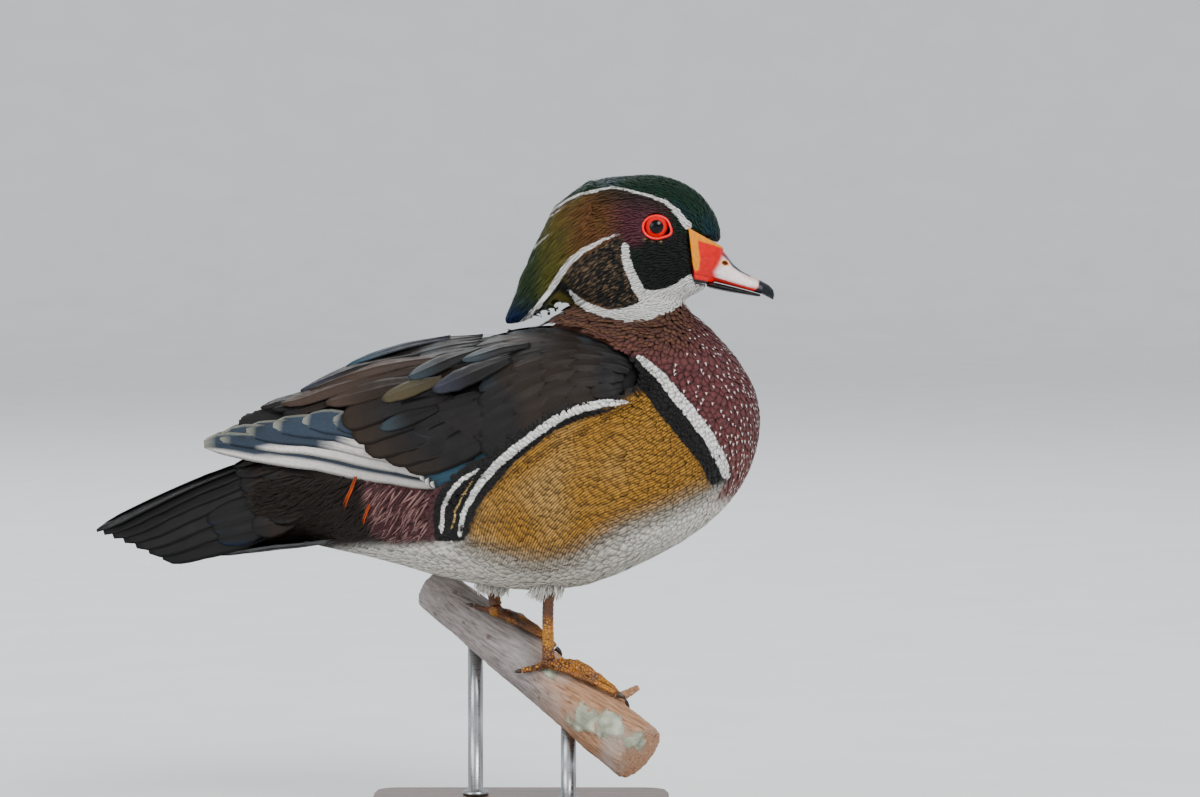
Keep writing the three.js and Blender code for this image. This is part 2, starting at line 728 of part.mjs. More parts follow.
function onBark(along, around, height) {
  const angle = THREE.MathUtils.degToRad(around);
  const reach = branchRadius(along) + height;
  return branchAxis(along)
    .addScaledVector(branchUp, reach * Math.cos(angle))
    .addScaledVector(branchSide, reach * Math.sin(angle));
}

function branchShape() {
  const { back, front, sides, steps, wave } = BRANCH;
  const rings = Array.from({ length: steps + 1 }, (_, r) => {
    const along = mix(back, front, r / steps);
    return Array.from({ length: sides }, (_, i) => {
      const around = (i / sides) * 360;
      const dent = wave * (Math.sin(along * 0.21 + i * 1.1) + Math.sin(along * 0.09 - i * 0.6));
      return onBark(along, around, -wave + dent * 0.5);
    });
  });
  return loft(rings, meanOf(rings[0]), meanOf(rings.at(-1)));
}

function branchStub() {
  const { stubAt, stubLength, stubRadius } = BRANCH;
  const heights = [-4, 0.4 * stubLength, stubLength];
  const points = heights.map((height) => onBark(stubAt + height * 0.5, -20, height));
  return tube(points, [stubRadius * 1.3, stubRadius, stubRadius * 0.75], 8);
}

// A point of a foot: forward and outward reach on the unrolled bark, and the height over it
function footPoint(foot, forward, outward, height) {
  const around = foot.around - THREE.MathUtils.radToDeg(foot.side * outward / BRANCH.radius);
  return onBark(foot.along + forward, around, height + GAP);
}

function barkOut(foot, forward, outward) {
  return footPoint(foot, forward, outward, 5).sub(footPoint(foot, forward, outward, 0)).normalize();
}

// A toe's reach over the bark at t, 0 at the foot and 1 at its tip, turned and scaled as its foot is
function toePath(foot, toe) {
  const turn = THREE.MathUtils.degToRad(foot.turn);
  const [c, s] = [foot.scale * Math.cos(turn), foot.scale * Math.sin(turn)];
  const turned = ([forward, outward]) => [forward * c - outward * s, forward * s + outward * c];
  const rows = toe.reach.map(turned);
  return (t) => rowAt(rows, t * (rows.length - 1));
}

function toeShape(foot, toe) {
  const STEPS = 5;
  const path = toePath(foot, toe);
  const spots = Array.from({ length: STEPS + 1 }, (_, i) => path(i / STEPS));
  const radii = spots.map((_, i) => {
    const t = i / STEPS;
    const joint = 1 + 0.1 * Math.cos(t * 2 * Math.PI * (toe === TOES.hind ? 1 : 3));
    return mix(toe.root, toe.tip, t) * joint;
  });
  const points = spots.map(([forward, outward], i) => footPoint(foot, forward, outward, radii[i] * 0.86));
  return tube(points, radii, 6, 0.86, (i) => barkOut(foot, ...spots[i]));
}

// The skin between two toes, hollowed along its front edge
function webShape(foot, first, second) {
  const paths = [toePath(foot, first), toePath(foot, second)];
  const ALONG = 3;
  const ACROSS = 4;
  const webPoint = (along, across, height) => {
    const hollow = 1 - 0.3 * Math.sin(Math.PI * across);
    const [a, b] = paths.map((path) => path(0.05 + along * 0.84 * hollow));
    const sag = 0.4 * Math.sin(Math.PI * across);
    return footPoint(foot, mix(a[0], b[0], across), mix(a[1], b[1], across), height - sag);
  };
  const webRow = (along, height) => Array.from(
    { length: ACROSS + 1 },
    (_, i) => webPoint(along, i / ACROSS, height),
  );
  const face = (height) => Array.from({ length: ALONG + 1 }, (_, r) => webRow(r / ALONG, height));
  return plate(face(2), face(1.1));
}

function footPieces(foot) {
  const pad = ball(footPoint(foot, 0, 0, FOOT_PAD.height), FOOT_PAD.radius, [1, 1, 1], 10);
  const toes = Object.values(TOES).map((toe) => toeShape(foot, toe));
  return [...toes, webShape(foot, TOES.inner, TOES.middle), webShape(foot, TOES.middle, TOES.outer), pad];
}

function clawShape(foot, toe) {
  const path = toePath(foot, toe);
  const [endForward, endOutward] = path(1);
  const [nearForward, nearOutward] = path(0.9);
  const length = Math.hypot(endForward - nearForward, endOutward - nearOutward);
  const [forward, outward] = [(endForward - nearForward) / length, (endOutward - nearOutward) / length];
  const size = toe === TOES.hind ? 0.8 : 1;
  const points = [0, 0.3, 0.6, 0.85].map((t) => footPoint(
    foot,
    endForward + forward * (2 * GAP + t * CLAW.length * size),
    endOutward + outward * (2 * GAP + t * CLAW.length * size),
    CLAW.radius + 0.9 * Math.sin(Math.PI * t) - CLAW.drop * 0.25 * t,
  ));
  return tube(points, [1, 0.85, 0.55, 0.2].map((k) => k * CLAW.radius * size), 6, 1.15);
}

// The shank and the feathered thigh above it
function legPieces(foot) {
  const ankle = footPoint(foot, 0, 0, SHANK.ankleHeight);
  const top = vec(...foot.top);
  const steps = curveThrough([top, top.clone().lerp(ankle, 0.5).add(vec(-0.8, 0, 0)), ankle], 8);
  const radii = steps.map((_, i) => mix(SHANK.thick, SHANK.wide, Math.sin((i / 8) * Math.PI)));
  const shank = tube(steps, radii, 10, 0.8, vec(1, 0, 0));
  const thigh = ball(top.clone().add(vec(0, 0, SHANK.thighDrop)), SHANK.thighRadius, [1, 0.9, 1.15], 14);
  return [shank, thigh];
}

function standBase() {
  const { long, deep, tall, corner, bevel } = STAND;
  const [w, d, r] = [long / 2 - bevel, deep / 2 - bevel, corner - bevel];
  const shape = new THREE.Shape();
  shape.moveTo(-w + r, -d);
  shape.lineTo(w - r, -d);
  shape.absarc(w - r, -d + r, r, -Math.PI / 2, 0);
  shape.lineTo(w, d - r);
  shape.absarc(w - r, d - r, r, 0, Math.PI / 2);
  shape.lineTo(-w + r, d);
  shape.absarc(-w + r, d - r, r, Math.PI / 2, Math.PI);
  shape.lineTo(-w, -d + r);
  shape.absarc(-w + r, -d + r, r, Math.PI, 1.5 * Math.PI);
  const block = new THREE.ExtrudeGeometry(shape, {
    depth: tall - 2 * bevel, bevelThickness: bevel, bevelSize: bevel, bevelSegments: 1, curveSegments: 4,
  });
  block.translate(0, 0, bevel);
  return block;
}

function standRod(along) {
  const foot = branchAxis(along);
  const height = foot.z - STAND.tall;
  const rod = new THREE.CylinderGeometry(STAND.rod, STAND.rod, height - GAP, 16);
  rod.rotateX(Math.PI / 2);
  rod.translate(foot.x, foot.y, STAND.tall + GAP + (height - GAP) / 2);
  return rod;
}

// Put the bird together, each node cut clear of the ones it meets
const torso = alongX(TORSO, 21, 24, TORSO_POWER, 0.46);
const neck = neckShape();
const skull = alongX(HEAD, 16, 18, HEAD_POWER, CHEEK_LEVEL);
const billUpper = billShape(true);
const billLower = billShape(false);
const tailPieces = [alongX(TAIL_CORE, 8, 16, 2.1, 0.45), ...tailVanes(), ...underCoverts()];

const torsoRoom = grownSolid([torso]);
const skullRoom = grownSolid([skull]);
const eyeRoom = joined([-1, 1].map((side) => ball(eyeCenter(side), EYE.radius + GAP, [1, 1, 1], 14)));
const hornRoom = solid(grown(skull, 1)).intersect(solid(billHorn(GAP)));
const upperRoom = grownSolid([billUpper]);

node('torso', solid(torso), finish.breast);
node('neck', solid(neck).subtract(torsoRoom).subtract(skullRoom), finish.breast);

const faceSolid = joined([skull, lids(-1), lids(1)]);
const headWhole = faceSolid.subtract(eyeRoom).subtract(hornRoom).subtract(upperRoom);
node('head', headWhole.subtract(solid(crestCut(0))), finish.crown);
const neckRoom = grownSolid([neck]);
const crestWhole = solid(skull).subtract(neckRoom).add(joined(crestLocks()));
const crestSolid = crestWhole.intersect(solid(crestCut(GAP))).subtract(neckRoom).subtract(torsoRoom);
node('crest', crestSolid, finish.crown);

const nostrils = joined([-1, 1].map((side) => ball(
  vec(NOSTRIL.x, side * 6.6, NOSTRIL.z), 1, [NOSTRIL.long, NOSTRIL.depth, NOSTRIL.tall], 12,
)));
const horn = solid(grown(skull, 0.7)).intersect(solid(billHorn(0)));
node('bill_upper', horn.add(solid(billUpper)).subtract(nostrils), finish.bill);
const lowerJaw = solid(billLower).subtract(grownSolid([billUpper])).subtract(hornRoom).subtract(skullRoom);
node('bill_lower', lowerJaw, finish.chin);

const tailSolid = joined(tailPieces).subtract(torsoRoom);
node('tail', tailSolid, finish.tail);
const tailRoom = grownSolid(tailPieces, VANE_GROW);

const wingPieces = [wingCore(), ...wingVanes(), ...primaryVanes()];
const keepSide = sideBlock([[-300, 0], [300, 0], [300, 400], [-300, 400]], 150);
keepSide.translate(0, 150 + GAP / 2, 0);
const wingWhole = joined(wingPieces).subtract(torsoRoom).subtract(tailRoom).subtract(neckRoom);
const wingLeft = wingWhole.intersect(solid(keepSide));
const wingGeometry = geometryOf(largest(wingLeft));
node('wing_left', solid(wingGeometry), finish.wing);
node('wing_right', solid(mirrored(wingGeometry)), finish.wing);

for (const [name, side] of [['eye_left', 1], ['eye_right', -1]]) {
  node(name, solid(ball(eyeCenter(side), EYE.radius, [1, 1, 1], 14)), finish.eye);
}

for (const [side, foot] of Object.entries(FEET)) {
  const pieces = footPieces(foot);
  const legs = legPieces(foot);
  node(`foot_${side}`, joined(pieces), finish.leg);
  node(`leg_${side}`, joined(legs).subtract(torsoRoom).subtract(grownSolid(pieces)), finish.leg);
  for (const [toeName, toe] of Object.entries(TOES)) {
    node(`claw_${side}_${toeName}`, solid(clawShape(foot, toe)), finish.claw);
  }
}

const branch = joined([branchShape(), branchStub()]);
node('perch_branch', branch, finish.bark);
const branchRoom = grownSolid([branchShape()]);
node('stand_base', solid(standBase()), finish.base);
for (const [name, along] of Object.entries(STAND.rods)) {
  node(`stand_rod_${name}`, solid(standRod(along)).subtract(branchRoom), finish.rod);
}

export default group;
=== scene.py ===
"""A drake wood duck at life size on a cut branch over a plain display stand: the looks round its solids.

Lengths are millimetres inside this script and metres in Blender. The bird faces +X, its left side is +Y
and up is +Z. Markings are named lines and areas in side view (x, z), the same on both sides of the bird.
"""
import math

import bmesh
import bpy
import numpy as np
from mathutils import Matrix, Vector, noise
from mathutils.bvhtree import BVHTree
from mathutils.kdtree import KDTree

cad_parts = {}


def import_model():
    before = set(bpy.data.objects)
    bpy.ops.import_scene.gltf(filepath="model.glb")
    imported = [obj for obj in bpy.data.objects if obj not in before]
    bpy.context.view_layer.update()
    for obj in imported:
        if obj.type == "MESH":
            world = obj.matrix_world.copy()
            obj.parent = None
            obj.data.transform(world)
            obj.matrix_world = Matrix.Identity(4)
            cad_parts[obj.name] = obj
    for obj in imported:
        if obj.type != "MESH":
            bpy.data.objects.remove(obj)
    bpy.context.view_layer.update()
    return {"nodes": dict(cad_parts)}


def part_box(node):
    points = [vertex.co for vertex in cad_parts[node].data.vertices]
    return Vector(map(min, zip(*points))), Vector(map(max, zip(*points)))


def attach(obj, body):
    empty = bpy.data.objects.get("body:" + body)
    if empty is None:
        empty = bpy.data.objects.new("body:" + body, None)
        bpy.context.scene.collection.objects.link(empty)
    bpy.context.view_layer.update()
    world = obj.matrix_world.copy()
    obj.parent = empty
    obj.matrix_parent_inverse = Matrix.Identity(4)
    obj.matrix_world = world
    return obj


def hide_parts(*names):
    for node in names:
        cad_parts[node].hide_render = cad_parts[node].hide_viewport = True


MM = 0.001
SEED = 20

# Paint: how far from a mark's edge its distance is kept, how much stronger colours are made, how much
# thinner the head's lines are drawn, and the gap between the flank's dark waves
FAR = 4.0
VIVID = 1.28
HEAD_LINE_TRIM = 0.35
LINE_GAP = 1.35

# Bake map: the size of a vane's patch. Barb map: the millimetres in a unit
PATCH = 0.003
MAP_UNIT = 10

# Camera
CAMERA = {
    "target": (41.6, 0.0, 224.4), "distance": 3000.0, "elevation": 3.0, "width": 624.0, "sensor": 36.0,
    "clip": 60,
}

# Studio
FLOOR = {"flat": 5.2, "edge": 9.5, "height": 4.2, "rings": 40, "sides": 96}
LIGHTS = {
    "key": {"at": (1.5, -2.3, 2.3), "size": 1.7, "power": 104},
    "fill": {"at": (-2.4, -1.9, 1.3), "size": 2.2, "power": 44},
    "rim": {"at": (-0.6, 2.4, 2.4), "size": 1.6, "power": 42},
}
WORLD = {"colour": "EEF1F4", "strength": 0.95}

# Skin: its remesh and smoothing, its depth under the coat, that depth's share on the head, and how far the
# beds under the wing's and the tail's feathers lie below them
SKIN = {"voxel": 1.5, "smooth": 10, "depth": 1.5, "head_share": 0.55}
FLESH = ("torso", "neck", "head", "crest")
WING_BED = 0.9
TAIL_BED = 1.2

# Voxel size and smoothing rounds of the finer copies of hard parts
FINE = {
    "bill_upper": (0.42, 5), "bill_lower": (0.6, 5), "leg": (0.62, 5), "foot": (0.62, 5),
    "claw": (0.3, 3), "perch": (1.1, 4),
}

# Wing stations, shoulder to tip: x, upper edge y and z, lower edge y and z, bulge, thickness
WING = np.array([
    (61, 38, 243, 47, 232, 3, 3),
    (54, 31, 250, 54, 226, 8, 7),
    (40, 21, 256.5, 60, 217, 13, 9),
    (20, 11, 260.2, 63.6, 206, 18, 10),
    (0, 4, 259.8, 64.6, 194, 21, 10),
    (-21, 1.6, 258.2, 61.5, 181, 22.5, 10),
    (-42, 1.3, 255, 53, 177, 20.5, 10),
    (-62, 1.3, 249.5, 43, 181, 16, 9),
    (-82, 1.6, 242.5, 33.5, 185.5, 10.5, 8),
    (-98, 2.2, 234.5, 26.5, 189.8, 8, 6.5),
    (-113, 3, 226.8, 21.5, 193, 6, 5),
    (-128, 3.8, 222.4, 17.5, 195.2, 4.4, 3.6),
    (-141, 4.6, 217.8, 14.6, 198.4, 3, 2.6),
    (-153, 6.5, 211.5, 11.5, 200.5, 1.6, 1.2),
    (-165, 8.5, 206, 9.5, 200.6, 0.6, 0.8),
], float)

# Tail: a roof of feathers from its ridge (0) down to its side edge (1)
TAIL_ROOT = {"x": -127.0, "sweep": 5.0, "y": 21.0, "middle": 0.0, "low": 151.0, "rise": 45.5}
TAIL_TIP = {"x": -220.5, "sweep": 42.0, "y": 19.0, "middle": 2.5, "low": 141.6, "rise": 13.4}
TAIL_BULGE = 2.0

# Tail core under the feathers: x, top, bottom and half width
TAIL_CORE = np.array([
    (-99, 203, 152, 20), (-106, 203, 149.5, 24), (-118, 200, 148, 25), (-130, 194, 147, 24),
    (-143, 187.5, 146.5, 21.5), (-156, 180, 147, 17.5), (-167, 172.5, 149, 12), (-174, 165, 153, 5),
], float)

# Rows that close the crest's tip: height, middle x, half length and half width
CREST_CORE = [
    (295, 13, 9, 8), (287, 10, 10.5, 7.5), (280, 8, 10, 6), (274, 4.6, 9, 4.8), (269, 0.6, 7.2, 3.8),
    (265, -3.4, 4.8, 2.8), (263, -5.4, 2.6, 1.6),
]

# Rows that fill the crown's outline before the crest: x, top, half width and half height
CROWN_CORE = [(16, 321, 6, 5), (22, 327, 9, 7), (29, 332.8, 11, 8), (36, 337, 12, 8), (43, 339, 13, 8),
              (50, 340, 14, 8), (58, 340.2, 14, 8), (64, 338.5, 12, 8)]

# Which way the feathers lie, in side view: x, z, and a direction
LIE = np.array([
    (100, 318, -0.45, 0.9), (92, 332, -0.8, 0.55), (75, 340, -1, 0.12), (55, 340, -1, -0.05),
    (35, 334, -0.93, -0.35), (20, 322, -0.75, -0.65), (10, 305, -0.55, -0.83), (0, 285, -0.5, -0.87),
    (-6, 268, -0.45, -0.9), (92, 300, -1, 0.1), (80, 295, -1, -0.1), (60, 300, -0.98, -0.2),
    (45, 300, -0.85, -0.5), (30, 290, -0.7, -0.7), (16, 282, -0.62, -0.78), (70, 322, -1, 0.12),
    (50, 320, -0.95, -0.3), (30, 310, -0.75, -0.65), (88, 281, -0.95, -0.3), (70, 272, -0.9, -0.45),
    (50, 268, -0.9, -0.4), (35, 273, -0.8, -0.5), (80, 265, -0.15, -1), (60, 258, -0.4, -0.9),
    (40, 262, -0.6, -0.8), (20, 262, -0.85, -0.5), (100, 255, 0, -1), (100, 240, -0.15, -1),
    (115, 235, -0.1, -1), (122, 210, -0.3, -0.95), (112, 180, -0.6, -0.8), (90, 220, -0.5, -0.85),
    (92, 195, -0.65, -0.75), (100, 165, -0.85, -0.5), (68, 225, -0.9, -0.4), (60, 205, -0.97, -0.1),
    (40, 208, -0.92, 0.35), (20, 200, -0.95, 0.25), (30, 175, -1, 0), (0, 180, -0.97, 0.2),
    (-15, 165, -1, 0.05), (60, 175, -0.97, -0.2), (50, 145, -1, -0.1), (0, 132, -1, 0.05),
    (-50, 140, -1, 0.12), (-55, 170, -0.62, -0.78), (-75, 170, -0.7, -0.7), (-95, 170, -0.85, -0.5),
    (-105, 150, -1, 0), (50, 255, -0.97, -0.1), (20, 258, -1, 0), (-20, 255, -1, -0.05),
    (-60, 245, -0.95, -0.3),
], float)

# Markings, as lines in side view with a width at each point: x, z, width
BROW = [
    (15, 320, 1.2), (20, 324.5, 1.6), (25, 328, 1.8), (32, 330.7, 1.6), (39, 332.4, 1.6),
    (48.4, 334.2, 1.8), (58.7, 332, 1.9), (69, 329.4, 2.2), (76, 326.4, 2.9), (81.2, 321.7, 3.6),
    (84.6, 317.3, 4.4), (87.2, 314.2, 5.0),
]
BROW_STREAK = [(22, 323.4, 0.8), (17, 320, 1.1), (13, 316.3, 0.9)]
NAPE_STREAK = [(16, 310.6, 0.9), (11, 306.4, 1.5), (6.5, 302.3, 1.2), (2.6, 296, 0.8)]
CREST_STRIPE = [
    (52, 310, 1), (47.5, 308.7, 1.6), (43.2, 307, 2.1), (38, 304, 2.8), (32.8, 301.3, 3.4),
    (28.5, 297.5, 3.8), (24.2, 293.6, 3.8), (21.5, 289.4, 3.8), (17.2, 282.8, 3.7), (12.8, 276.8, 3.4),
    (8.6, 271.6, 3.1), (3.4, 266.2, 2.7), (-1.5, 262.4, 2.2),
]
CHEEK_SPUR = [
    (54.7, 303.3, 4.6), (55, 297, 5.2), (56.8, 291.6, 5.2), (59.3, 286.2, 5.6), (62, 280.6, 6.4),
]
COLLAR = [
    (25.4, 280.4, 2), (30.2, 275, 4.2), (36, 271.6, 5), (42.6, 269, 5), (50, 268, 5), (57.5, 269.2, 6),
]
THROAT = [(57, 285), (60, 284.6), (63, 281.2), (69, 280.6), (75, 281.6), (80.4, 283.7), (84.5, 286.6),
          (87.6, 288.6), (91.5, 289.5), (98, 287), (99, 280), (84, 272), (76, 268), (64, 263), (50, 263),
          (48, 270.4), (57, 272), (62, 274.6), (61, 279)]
CHEEK = [
    (52.5, 308.6), (55, 304), (53.8, 297), (55.6, 290), (59.4, 281), (62.5, 275), (55, 271), (45, 271.4),
    (37.8, 273.6), (31.6, 277), (26.6, 282.4), (22.5, 288), (28, 294.5), (33, 298.6), (38, 301),
    (44, 305),
]
NAPE_BLACK = [
    (26.5, 283), (31, 277.5), (29, 273.5), (24, 277.5), (20, 280), (12, 271), (3, 263), (9, 270.5),
    (15.5, 278), (21, 286),
]
SHOULDER_BAR = [(61.5, 246, 2.6), (67, 241.6, 4), (74, 235.2, 5.2), (80, 227.4, 5.6), (89, 216.6, 6),
                (98, 205, 6), (104, 193.8, 5.6), (107.2, 184.4, 4)]
BAR_BLACK = [
    (60.5, 246), (56, 240), (60, 232), (66, 226), (72, 217), (83, 203.5), (93, 192), (100, 178.5),
    (104.6, 182), (102, 193), (96, 205), (87, 216.5), (78, 227), (70, 236),
]
FLANK_REAR = [
    (64, 231, 1), (48.5, 221.5, 1), (28.5, 212.5, 1), (15.5, 207, 1), (3, 197.5, 1), (-9.5, 185, 1),
    (-20, 172, 1), (-26, 158.5, 1), (-28.5, 149, 1),
]
FLANK = [
    (66, 230), (48.5, 219.6), (37, 215.4), (28.5, 212.5), (15.5, 206.6), (3, 197.5), (-9.5, 185),
    (-19, 172), (-24.6, 158.5), (-27, 149), (-12, 143.4), (8.5, 139), (26, 142), (51, 157.5), (76.5, 167),
    (99, 178), (92.5, 193), (82.5, 204.6), (71, 218),
]
FLANK_STRIPE = [
    (56, 222.4, 1.4), (46, 222.2, 3.8), (33.5, 220, 4.6), (24.5, 216.9, 4.4), (15.5, 211.4, 4.4),
    (6.5, 205, 4.2), (-3, 197.7, 4.4), (-12, 190.1, 4.2), (-20, 181, 4), (-24.6, 174, 3.2),
    (-29.5, 165, 2.6), (-31.5, 153, 1.8),
]
STRIPE_BLACK = [(50, 219.6, 1), (42, 217.6, 2.2), (30, 214.6, 2.6), (18, 209.6, 3.2), (8, 202.6, 3.4),
                (-2, 194.2, 3.6), (-12, 184, 4), (-20.5, 173.6, 3.6), (-26, 162, 2.6), (-28.4, 152, 1.8)]
REAR_BLACK = [(-14, 195), (-24, 190.5), (-36, 183), (-43.5, 174), (-45.5, 163), (-44, 150), (-29, 150),
              (-27, 164), (-20, 178), (-8, 190)]
SECOND_STRIPE = [
    (-21, 187.6, 1.2), (-29.5, 183, 2.3), (-36, 176, 2.4), (-40, 167.5, 2.3), (-41, 155, 1.8),
]
CREAM_LINE = [(-24.5, 182.8, 0.8), (-29.6, 174, 1), (-33.4, 166.6, 1), (-35.6, 156, 1)]
BREAST = [
    (24, 283), (15, 266), (14, 252), (40, 249), (58, 247), (63, 246), (76, 237), (91, 219), (101, 206),
    (107, 195), (110, 184), (104, 176), (96, 167), (112, 160), (150, 180), (150, 260), (100, 300),
]
BELLY_TOP = [
    (140, 172), (105, 178), (76, 168), (51, 158), (26, 142.6), (8, 139.5), (-12, 144), (-28, 149.5),
    (-45, 153), (-62, 150), (-80, 147.4), (-95, 145), (-95, 100), (140, 100),
]
EYE_DOTS = [(64.4, 307.0, 1.5), (68.6, 306.4, 1.1), (72.6, 305.9, 1.3)]
RUMP_PATCH = [(-41, 186), (-60, 188), (-80, 190), (-82, 176), (-77, 154), (-66, 148), (-41, 150)]

# Heights along the bird, as lines in side view: where the head's coat ends, the brow, the black back's
# lower edge, and the wing's lower edge where the flank's feathers cover it
NECK_LINE = [
    (-20, 257), (-4, 259.5), (10, 266), (24, 274), (34, 270), (46, 266), (58, 264), (70, 267), (84, 274),
    (100, 280),
]
BROW_LEVEL = [
    (5, 306), (15, 320), (25, 328), (39, 332.4), (48, 334), (69, 329.4), (81, 321.7), (87, 314),
    (92, 300),
]
BACK_EDGE = [(-45, 186), (-20, 189), (3, 206), (28, 221), (56, 226), (62, 234)]
WING_EDGE = [
    (-160, 196), (-100, 188), (-75, 183), (-60, 179), (-52, 176), (-46, 174.5), (-41, 178.5), (-36, 180),
    (-30, 184.6), (-24, 188.6), (-20, 191), (-12, 195.4), (-3, 201), (6, 208), (15, 214), (24, 219.6),
    (34, 222.6), (46, 224.6), (57, 227), (64, 236), (66, 246), (70, 300),
]

TONES = {
    "breast": "5A3536", "breast_low": "6C4440", "neck": "493126", "neck_buff": "6C4F39",
    "belly": "E2DFD8", "belly_shade": "8F8678", "flank": "9C7440", "flank_pale": "B4966A",
    "flank_line": "2A1D10", "cream": "C9AE7C", "white": "F2F1EE", "black": "0B0A0B", "crown": "0F2A1C",
    "crown_blue": "102A3C", "cheek_purple": "4E2C34", "bronze": "684826", "gold_green": "4A5628",
    "crest_blue": "10223F", "face": "0A0F0B", "face_green": "0C2214", "mottle": "7C6852",
    "rump": "482B2D", "rump_sheen": "9A7C78", "tail_base": "1C130D", "back": "16110E", "orange": "A8502A",
    "wing_black": "100D0D", "bronze_black": "241A12", "blue": "223A46", "blue_green": "30393E",
    "violet": "292A33", "olive": "433C2C", "brown": "3C3029", "primary_blue": "2B343F",
    "primary_edge": "A8A79A", "silver": "DAD6D2", "tail": "070606", "tail_blue": "142036",
    # The groove tone is painted shade in the eye's socket
    "groove": "1A0504",
}

# Plumage: roughness, barbs in a unit of the barb map, share of metal, and plain values of the shader
PLUMAGE = {
    "body_plumage": dict(rough=0.66, barbs=240.0, metal=0.1, Sheen_Weight=0.04, Specular_IOR_Level=0.22),
    "head_plumage": dict(rough=0.52, barbs=300.0, metal=0.4, Sheen_Weight=0.02, Specular_IOR_Level=0.25),
    "wing_feathers": dict(rough=0.56, barbs=130.0, metal=0.3, Specular_IOR_Level=0.25),
}

# Eye: the ball, how far it and its clear front stand out, and its bare rim. Ring: its size, drop and
# thickness, its pointed corner, and its lean above and below its middle
EYE = {"radius": 6.9, "bulge": 2.5, "front": 0.35, "long": 7.9, "tall": 6.6}
EYE_SPOT = (70.7, 314.1)
RING = {
    "long": 6.95, "tall": 5.9, "drop": 0.25, "thick": 0.66, "uneven": 0.14, "corner": (0.2, 0.46),
    "lean": (0.17, 0.03), "count": 96, "sides": 14,
}

# Body coat: gaps between tufts, tuft length and width, how they lie, the rump's zone with its share of
# tufts with a painted sheen, the share of breast feathers with a fleck, and the height where the neck
# starts
GAPS = {"body": 2.5, "front": 2.15, "neck": 1.7, "rear": 1.85, "bars": 1.5}
TUFTS = {
    "body": (9.5, 7.2), "front": (7.6, 5.2), "neck": (5.6, 3.0), "bars": (5.4, 3.6), "rump": (12.0, 1.2),
}
COAT_LOOKS = {
    "rump": dict(outline="hair", lift=1.1, wander=0.18, thick=0.45),
    "body": dict(outline="round", lift=0.2, wander=0.05, thick=0.1, depth=0.7, bend=0, uneven=0.1),
    "breast": dict(outline="round", lift=0.25, wander=0.06, thick=0.13, depth=0.8, bend=0, uneven=0.12),
    "head": dict(outline="hair", lift=0.2, wander=0.05, thick=0.2, depth=0.7, bend=0, uneven=0.15),
}
RUMP = {"x": (-130, -44), "z": (149, 200), "sheen_share": 0.35}
FLECK_CHANCE = {"least": 0.1, "front": 0.45}
NECK_START = 250

# Where tufts stay out: behind the body's end, near the wing, behind an x and above a height inside the tips
# of crest and wings, and in the gap between crest and nape. Then how near the bars they are smaller, and
# how far they rise over the wing's edge
BODY_END = -150
WING_REACH = 4.0
INSIDE = [(-5, 255), (-88, 186), (27, 268)]
CREST_GAP = {"x": (12, 27), "below": 283}
BAR_REACH = 6
OVER_WING = 2.3

# Vanes: lanes across a plain one and one with a shaft, the long ones' uneven edge, and their looks
PLAIN_LANES = (-1, 0, 1)
SHAFT_LANES = (-1, -0.72, -0.36, -0.07, 0, 0.07, 0.36, 0.72, 1)
EDGE_UNEVEN = 0.025
VANE_LOOKS = {
    "flight": dict(rows=16, outline="long", thick=0.45, shaft=0.45, camber=0.35),
    "covert": dict(rows=12, outline="round", thick=0.4, shaft=0.35, camber=0.5),
    "accent": dict(rows=14, outline="round", thick=0.45, shaft=0.4, camber=0.5),
    "tail": dict(rows=16, outline="long", thick=0.5, shaft=0.5, camber=0.3),
    "tail_covert": dict(rows=16, outline="round", thick=0.5, shaft=0.5, camber=0.3),
}

# Head coat: gaps, and the length and width of tufts on face, crown and crest
HEAD_GAPS = {"head": 1.12, "crest": 1.3, "face": 0.98}
HEAD_LONG = {"face": 3.6, "crown": 4.4, "crest": 11.0, "white": 4.5, "nape": 2.6, "eye": 0.7}
HEAD_WIDE = {"face": 1.55, "crest": 1.7}
CREST_END = 36

# Coat maps, round a level axis: its start, its end and its height
BODY_AXIS = (-190, 135, 195)
HEAD_AXIS = (-20, 112, 303)
WING_AXIS = (-170, 70, 195)
TAIL_AXIS = (-200, -70, 170)

# Wing feathers that the photo shows one by one: roots and tips in side view
PRIMARY_TIPS = [
    (-164.5, 200.5), (-156, 204), (-142, 208), (-128, 210.6), (-113, 212.6), (-97, 213), (-84, 211),
]
PRIMARY_ROOTS = [
    (-34, 182), (-33, 184.4), (-32, 187), (-31, 190), (-30, 193.5), (-28, 197.5), (-26, 201.5),
]
SPECULUM_TIPS = [(-54, 185.4), (-51.5, 183.4), (-49, 181.6), (-46.5, 180.4)]
SPECULUM_ROOTS = [(-12, 204), (-12, 201), (-12, 198), (-12, 195.5)]
BLACK_TIPS = [(-60, 192), (-70, 195), (-80, 199), (-87, 205.5), (-91.5, 212.5)]
BLACK_ROOTS = [(-10, 212), (-20, 215), (-28, 219), (-34, 225), (-40, 231)]
# The three groups' width, lowest height, step up from feather to feather and rise to the tip
PRIMARIES = {"width": 13.5, "base": -0.6, "step": 0.28, "rise": 0.4}
SPECULUM = {"width": 9, "base": -0.3, "step": 0.12, "rise": 0.6}
BLACKS = {"width": 17, "base": 0.7, "step": 0.2, "rise": 0.6}
